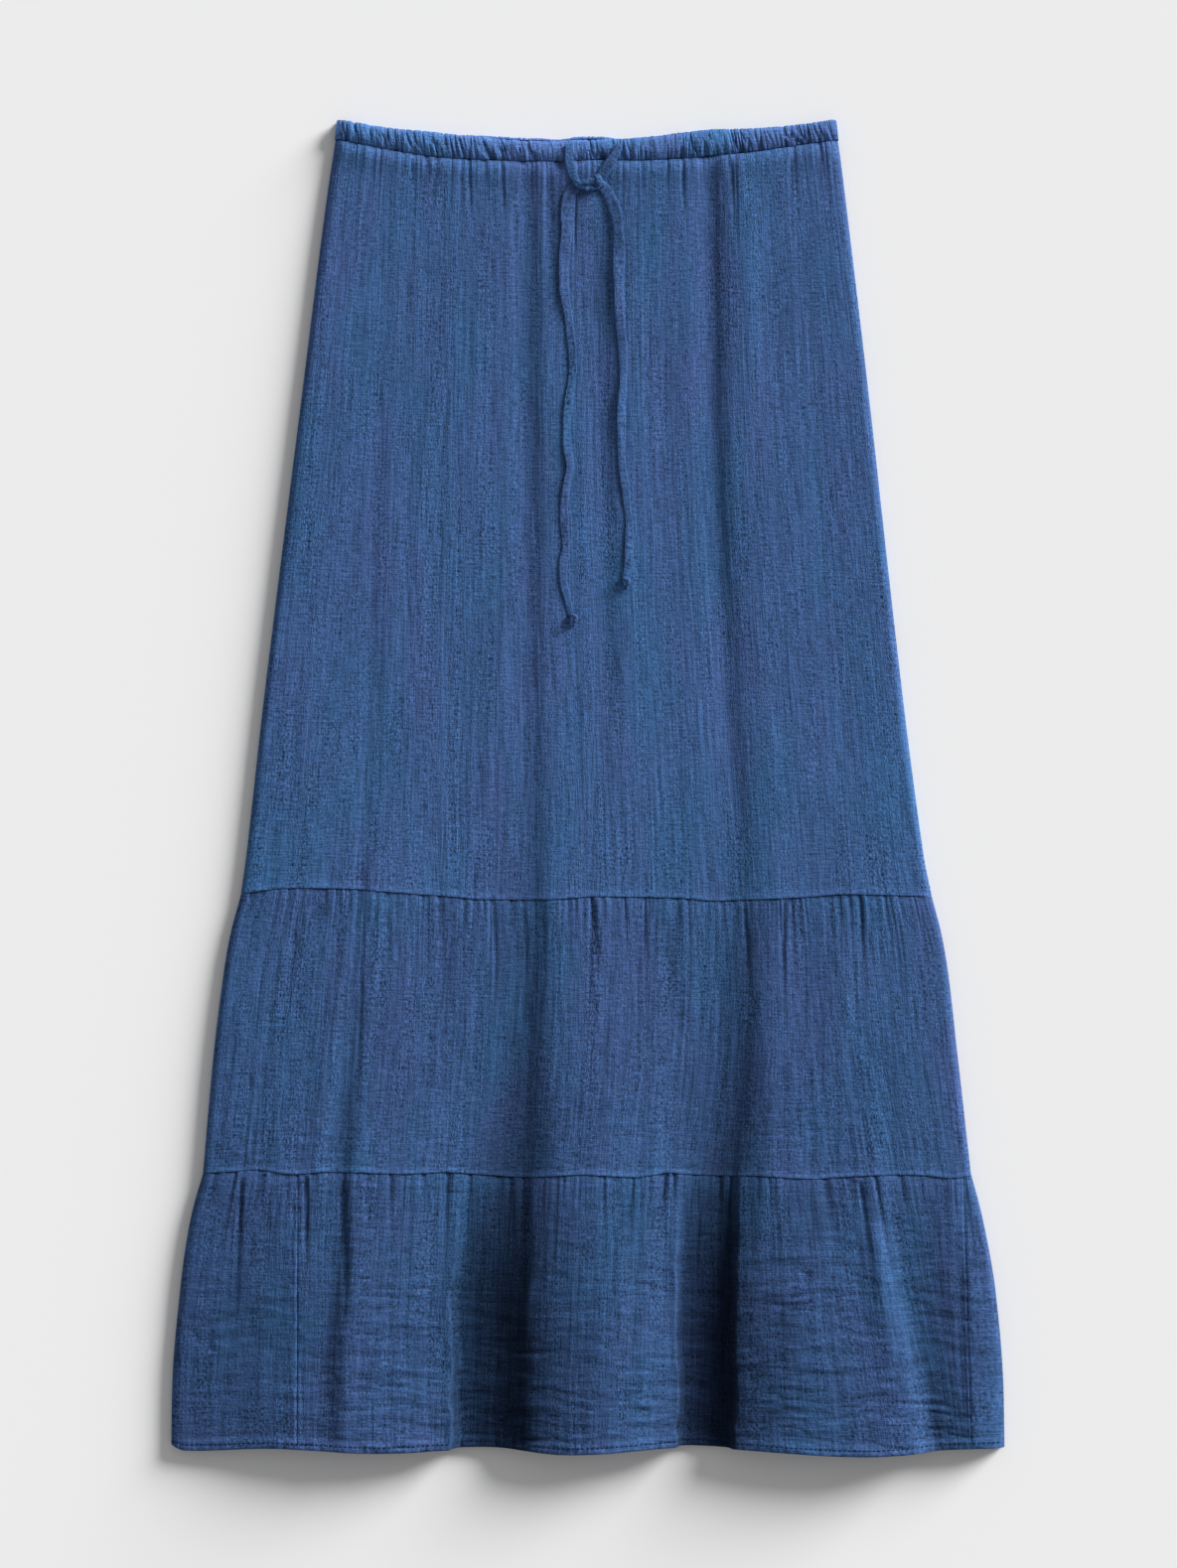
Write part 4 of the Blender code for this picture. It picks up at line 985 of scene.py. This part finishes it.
def tube_faces(ring_count, ring_points, reverse=False):
    """The faces of a closed tube of rings, with both its ends. reverse is for rings that run the other way round."""
    index = np.arange(ring_count * ring_points).reshape(ring_count, ring_points)
    after = np.roll(index, -1, 1)
    walls = np.stack([index[:-1], index[1:], after[1:], after[:-1]], -1).reshape(-1, 4)
    ends = [index[0], index[-1, ::-1]]
    if reverse:
        walls, ends = walls[:, [0, 3, 2, 1]], [end[::-1] for end in ends]
    return [*walls.tolist(), *(end.tolist() for end in ends)]


print("a closed tube of 3 rings of 8 points has", len(tube_faces(3, 8)), "faces")


# %% The two halves of the band
def waistband(name, section, base_z, per_gather, ring_points, raised, seed):
    """One half of the band, as a closed tube of rings."""
    ring = around(section, ring_points)
    column, share = np.meshgrid(spread(0, WAIST.count, per_gather), np.clip(ring["share"], 0, 1), indexing="ij")
    taper = np.clip(np.minimum(column, WAIST.count - column) / 1.5, 0, 1)
    drawn, pinch = band_gathers(column, share, seed)
    x = WAIST.x(column, BAND_HEIGHT * (1 + share) / 2)
    top = curve(WAIST_LINE, "down", x, "x") + (BACK_DIP if raised else curve(FRONT_DIP, "dip", x, "x"))
    top = top - 0.6 + 1.1 * (1 - taper) ** 6
    bottom = curve(BAND_SEAM, "down", x, "x") - SEAM_GAP / 2
    scallop = (0.28 * pinch + 0.34 * drawn) * np.exp(-((share / 0.12) ** 2))
    scallop = scallop - 0.4 * pinch * np.exp(-(((1 - share) / 0.12) ** 2))
    z = ring["z"][None] * ((bottom - top) / BAND_HEIGHT) ** 0.7
    fall = 0.3 * z * (1 - taper)
    height = base_z + np.maximum(z - ring["swell"][None] * (pinch * taper + fall), 0)
    points = metres(x, top + (bottom - top) * share + scallop * taper, height)
    grain = np.stack([column * 10.9 + 300, share * BAND_HEIGHT * 1.3], -1)
    faces = tube_faces(*column.shape, reverse=True)
    # Where the band is pinched it is darker as painted shade, and its puffs are rubbed lighter.
    piece = cloth_object(name, points, faces, grain, np.clip(-pinch / 0.9, -1, 1), BAND_GAUZE)
    return stand_for(piece, name)


waistband_front = waistband("waistband_front", FRONT_SECTION, FRONT_BAND_Z, 20, 40, False, 51)
waistband_back = waistband("waistband_back", BACK_SECTION, 0.0, 10, 27, True, 61)

# %% [markdown]
# ## The drawstring
#
# A strip of the same gauze, folded and sewn. Each end leaves the casing, passes through a half-knot, and lies down
# the front to a small knot at its tip. A curve with a round bevel would look like a cord. A limp strip waves and
# turns a little, so its section is a flat rounded one that twists slowly along the path, and it rests on the cloth
# all the way. The paths were followed in the photograph, from the casing to the tips.
# %% Paths of the strips
LEFT_TAIL = table("x down width", (-7, 46, 8), (-12, 50.5, 9.4), (-13.9, 60, 10), (-14.7, 75.6, 8.8),
                  (-16.8, 100.8, 7.4), (-16.4, 121.8, 6.8), (-13.7, 138.6, 6.4), (-12.2, 152, 6), (-10.6, 175.7, 6),
                  (-14.5, 207.2, 6), (-14.6, 229, 6), (-12.3, 243.6, 6), (-14.9, 257, 6), (-16.8, 272, 6),
                  (-16.2, 289, 6), (-15.4, 300.3, 6), (-17.5, 314, 6), (-17, 327, 5.6), (-14.4, 338, 5),
                  (-11.8, 349.5, 4.2))
RIGHT_TAIL = table("x down width", (7, 43.5, 7), (12.6, 49.2, 7.6), (17.4, 58.8, 8.2), (20.3, 70, 8.4),
                   (21.7, 88.2, 8.2), (21.8, 110.6, 7.4), (22.4, 138.6, 6.8), (24.6, 163.1, 6.4), (25, 186, 5.6),
                   (23.8, 200, 6), (23.6, 220, 6), (23.6, 238.7, 5.6), (25.4, 252, 5.6), (27.6, 270, 5.6),
                   (29.2, 286, 5.6), (28.9, 303, 6.4), (28.4, 314, 6), (26.4, 324, 4.6))
LEFT_LEG = table("x down width", (-13.6, 17, 5.4), (-13.4, 26, 6.2), (-12.2, 33, 6.2), (-9.4, 41, 5.6),
                 (-5.5, 45.5, 4.6))
RIGHT_LEG = table("x down width", (22.8, 16.5, 2.6), (19.8, 23, 5.6), (16, 29.5, 8), (12.2, 35.5, 8.6),
                  (8.5, 41, 6.5), (4, 44.5, 4.6))


def band_top(x, down):
    """How high the band stands at each point, or nothing past its lower edge."""
    waist = curve(WAIST_LINE, "down", x, "x")
    share = (down - waist) / (curve(BAND_SEAM, "down", x, "x") - waist)
    round_top = FRONT_BAND_Z + np.interp(share, FRONT_SECTION["share"][1:], FRONT_SECTION["z"][1:])
    return np.where(share < 1.0, round_top, 0.0)


def rest_on(x, down):
    """The height of the cloth that a strip rests on."""
    from_seam = down - curve(BAND_SEAM, "down", x, "x")
    puffed = front_height(x, down) + UPPER_PANEL.bulge * np.exp(-(((from_seam - 6) / 8) ** 2))
    return np.maximum(puffed, band_top(x, down)) + 0.3


def walk(path, spacing):
    """Evenly spaced points along a path, with the distance travelled."""
    steps = np.hypot(np.diff(path["x"]), np.diff(path["down"]))
    rows = {**path, "along": np.concatenate([[0], np.cumsum(steps)])}
    along = np.linspace(0, rows["along"][-1], int(rows["along"][-1] / spacing) + 1)
    return along, *(curve(rows, name, along, "along") for name in ("x", "down", "width"))


print("the left tail rests", rest_on(LEFT_TAIL["x"], LEFT_TAIL["down"]).min().round(1), "mm high or more")

# %% Directions along a line, and a flat tube
SECTION_POINTS = 24


def heading(points):
    """The direction in which a line of points runs, at each of them."""
    ahead = np.gradient(points, axis=0)
    return ahead / np.linalg.norm(ahead, axis=1)[:, None]


def frames_along(points, roll):
    """For each point of a line: the direction across it, and up, rolled by an angle."""
    ahead = heading(points)
    across = np.cross(ahead, [0, 0, 1.0])
    across /= np.linalg.norm(across, axis=1)[:, None]
    up = np.cross(across, ahead)
    turn = roll[:, None]
    return across * np.cos(turn) + up * np.sin(turn), up * np.cos(turn) - across * np.sin(turn)


def tube(name, centre, roll, width, thick, seed):
    """A closed flat tube: a rounded section at each point of the centre line, wider than it is thick."""
    across, up = frames_along(centre, roll)
    grain_shift = 40 * seed
    angle = np.linspace(0, 2 * np.pi, SECTION_POINTS, endpoint=False)[None, :, None]
    side = np.sign(np.cos(angle)) * np.abs(np.cos(angle)) ** 0.65
    lift = np.sign(np.sin(angle)) * np.abs(np.sin(angle)) ** 0.6
    number = np.arange(len(centre))[:, None, None]
    ridge = 0.22 * np.maximum(np.sin(angle), 0) * noise(number / 1.6, angle * 1.9, grain_shift % 97)
    rings = centre[:, None] + across[:, None] * side * width[:, None, None] / 2
    rings = rings + up[:, None] * (lift + ridge) * thick[:, None, None] / 2
    steps = np.linalg.norm(np.diff(centre, axis=0), axis=1)
    along = np.concatenate([[0], np.cumsum(steps)])[:, None]
    grain = np.stack(np.broadcast_arrays(angle[..., 0] * 2.6 + grain_shift, along), -1)
    faces = tube_faces(len(centre), SECTION_POINTS)
    return cloth_object(name, rings / 1000, faces, grain, np.zeros(rings.size // 3), TIE_GAUZE)


print("a line along x heads for", heading(np.array([[0, 0, 0], [1, 0, 0], [3, 0, 0]]))[0])

# %% A folded strip along a path
STRIP_THICK = 1.25
STRIP_STEP = 2.2


def strip(name, path, roll_size, seed):
    """A folded strip that lies on the skirt along a path."""
    along, x, down, width = walk(path, STRIP_STEP)
    width = width * (1 + 0.1 * noise(along / 7, 0, seed))
    roll = roll_size * noise(along / 22, 0, seed + 1)
    thick = STRIP_THICK * (0.9 + 0.2 * noise(along / 11, 0, seed + 2)) * np.clip(width / 6, 0.7, 1)
    reach = np.abs(np.sin(roll)) * width / 2 + thick / 2
    spots = [rest_on(x + side * width / 2, down + end) for side in (-1, 0, 1) for end in (-3, 0, 3)]
    z = np.maximum.reduce(spots) + reach - 0.35
    z = np.convolve(np.pad(z, 2, mode="edge"), np.full(5, 0.2), "valid")
    centre = np.stack([x, LENGTH / 2 - down, z], -1)
    return tube(name, centre, roll, width, thick, seed), centre / 1000


left_leg, _ = strip("tie_left_leg", LEFT_LEG, 0.2, 3)
right_leg, _ = strip("tie_right_leg", RIGHT_LEG, 0.2, 4)
left_tail, left_line = strip("tie_left_tail", LEFT_TAIL, 0.16, 5)
right_tail, right_line = strip("tie_right_tail", RIGHT_TAIL, 0.2, 6)


# %% Strands of a knot
def loop_of(name, stops, thickness, seed):
    """A short rolled strand of a knot, through a few points given as x, down, height above the cloth, width."""
    rows = table("x down rise width", *stops)
    rows["along"] = np.arange(len(stops), dtype=float)
    at = np.linspace(0, len(stops) - 1, 8 * len(stops))
    x, down, rise, width = (curve(rows, column, at, "along") for column in ("x", "down", "rise", "width"))
    centre = np.stack([x, LENGTH / 2 - down, rest_on(x, down) + rise], -1)
    ends = np.clip(np.minimum(at, at[-1] - at) / 0.35, 0.25, 1) ** 0.5
    return tube(name, centre, 0.5 * noise(at, 0, seed), width * ends, thickness * ends, seed)


def joined(name, *pieces):
    """Several strands made one object."""
    select_only(*pieces)
    bpy.ops.object.join()
    pieces[0].name = name + "_cloth"
    return pieces[0]


under = loop_of("knot_under", [(-10.5, 42, 1.6, 4.6), (-6, 46.2, 2.2, 5), (0, 47.8, 2.6, 5.2), (6, 46.8, 2.4, 5),
                               (10.5, 44, 1.8, 4.2)], 3.2, 8)
over = loop_of("knot_over", [(-8, 46, 1.8, 3.8), (-2, 44.2, 3.2, 4.6), (4, 43.6, 3.8, 4.8), (8.5, 44.2, 3.2, 4),
                             (12, 46, 1.8, 3.4)], 2.8, 9)
wrap = loop_of("knot_wrap", [(5, 39, 1.6, 4), (7.5, 41.5, 4.6, 4.6), (7.4, 45, 4.8, 4.4), (4.5, 47.5, 2.2, 3.6)],
               2.8, 10)
tie_knot = joined("tie_knot", under, over, wrap)


# %% The knots at the tips
def tip_knot(name, x, down, seed):
    """The small knot at a tail's end: a turn of the strip round itself, and its short end."""
    turn = loop_of(name + "_turn", [(x - 2.2, down - 3.4, 1.3, 3), (x + 2, down - 2.6, 2.6, 3.2),
                                    (x + 2.2, down + 0.2, 2.6, 3.2), (x - 2, down + 0.6, 1.5, 3)], 2.6, seed)
    end = loop_of(name + "_end", [(x + 0.4, down - 4.5, 1.6, 3.4), (x + 0.6, down, 2.3, 4),
                                  (x + 0.2, down + 4.6, 1.3, 5)], 2.2, seed + 1)
    return joined(name, turn, end)


left_tip = tip_knot("tie_left_tip", -11.2, 352.6, 12)
right_tip = tip_knot("tie_right_tip", 25.8, 326.6, 14)
for piece in (left_leg, right_leg, left_tail, right_tail, tie_knot, left_tip, right_tip):
    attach(piece, "root")
    stand_for(piece, piece.name.removesuffix("_cloth"))


def line_length(points):
    """The length of a line through points, in metres."""
    return float(np.linalg.norm(np.diff(points, axis=0), axis=1).sum())


print("tails:", round(line_length(left_line), 3), round(line_length(right_line), 3))

# %% [markdown]
# ## Stitches
#
# The hem is turned up about 4 mm and held by one row of topstitching in dark thread, pressed into the cloth. A
# dashed line in the material would do from afar, but up close each stitch is a small bead. One stitch is modelled
# with few faces and copied along the row.
# %% A row of stitches
STITCH_PITCH, STITCH_LENGTH, STITCH_THICK = 3.4, 2.4, 0.85


def stitch_row(name, x, down, z, material):
    """Copies of one stitch, each turned along the row that it lies in."""
    bpy.ops.object.select_all(action="DESELECT")
    bpy.ops.mesh.primitive_uv_sphere_add(segments=6, ring_count=4, radius=0.5)
    stitch = bpy.context.object
    size = (STITCH_LENGTH, STITCH_THICK, STITCH_THICK)
    shape = np.array([vertex.co[:] for vertex in stitch.data.vertices]) * size
    # The sphere's faces come in another order each time, so they are sorted.
    corners = sorted(list(face.vertices) for face in stitch.data.polygons)
    bpy.data.objects.remove(stitch, do_unlink=True)
    points = metres(x, down, z) * 1000
    ahead = heading(points)
    across = np.cross([0, 0, 1.0], ahead)
    axes = (ahead, across, np.cross(ahead, across))
    places = points[:, None] + sum(shape[None, :, i:i + 1] * axis[:, None] for i, axis in enumerate(axes))
    faces = [[corner + len(shape) * number for corner in face] for number in range(len(points)) for face in corners]
    mesh = bpy.data.meshes.new(name)
    mesh.from_pydata((places.reshape(-1, 3) / 1000).tolist(), [], faces)
    mesh.shade_smooth()
    mesh.materials.append(material)
    piece = bpy.data.objects.new(name, mesh)
    bpy.context.scene.collection.objects.link(piece)
    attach(piece, "root")
    print("stitches:", len(points))
    return piece


print("a stitch is", STITCH_LENGTH, "mm long")

# %% The row along the hem
STITCH_LEVEL = 932.0


def hem_places(start, end):
    """Places along the hem's row of stitches, on the front's own surface."""
    x = np.arange(start, end, STITCH_PITCH)
    from_top = np.full_like(x, BOTTOM_TIER.height - HEM_TURN)
    down = row_level(BOTTOM_TIER, x, from_top)
    columns = spread(0, 48, 50)
    column = np.interp(x, BOTTOM_TIER.gathers.x(columns, np.full_like(columns, STITCH_LEVEL)), columns)
    relief = fine_relief(BOTTOM_TIER, column, x, down, from_top)
    return x, down, front_height(x, down) + relief + 0.12


thread = new_material("hem_thread", {"Base Color": (0.006, 0.015, 0.042, 1.0), "Roughness": 0.9,
                                     "Specular IOR Level": 0.05})
hem_stitches = stitch_row("hem_stitches", *hem_places(-289, 289.5), thread)

# %% [markdown]
# ## The table and the light
#
# The table is plain and pale. One broad lamp stands low at the upper right: it is large enough for soft edges, and
# low enough for the crinkles to show and for long shadows on the left and below the hem. An area lamp would have to
# stand far off to light both ends of the skirt alike, so it is a sun that looks 28 degrees wide. A pale sky fills in.
# %% Table
bpy.ops.object.select_all(action="DESELECT")
bpy.ops.mesh.primitive_plane_add(size=9.0, location=(0, 0, -0.0002))
floor = bpy.context.object
floor.name = "table_top"
floor.data.materials.append(new_material("pale_table", {"Base Color": (0.83, 0.83, 0.835, 1.0), "Roughness": 0.95}))
print("table:", [round(side, 1) for side in floor.dimensions[:2]], "m")

# %% Lamp and sky
AZIMUTH, ELEVATION, LAMP_WIDTH = 38, 16, 28
FROM_WINDOW, FROM_ROOM = 0.66, 0.34

window = bpy.data.objects.new("window", bpy.data.lights.new("window", "SUN"))
window.data.angle = math.radians(LAMP_WIDTH)
window.data.energy = FROM_WINDOW * math.pi / math.sin(math.radians(ELEVATION))
window.rotation_euler = (math.radians(90 - ELEVATION), 0, math.radians(AZIMUTH + 90))
bpy.context.scene.collection.objects.link(window)
world = bpy.data.worlds.new("soft_room")
world.use_nodes = True
world.node_tree.nodes["Background"].inputs["Color"].default_value = (1.0, 1.0, 1.0, 1.0)
world.node_tree.nodes["Background"].inputs["Strength"].default_value = FROM_ROOM
bpy.context.scene.world = world
bpy.context.scene.view_settings.view_transform = "Standard"
print("lamp strength:", round(window.data.energy, 2))

# %% [markdown]
# ## The band's padding
#
# The two halves of the band are padded by the elastic inside.
print("the band's two halves are padded by its elastic")
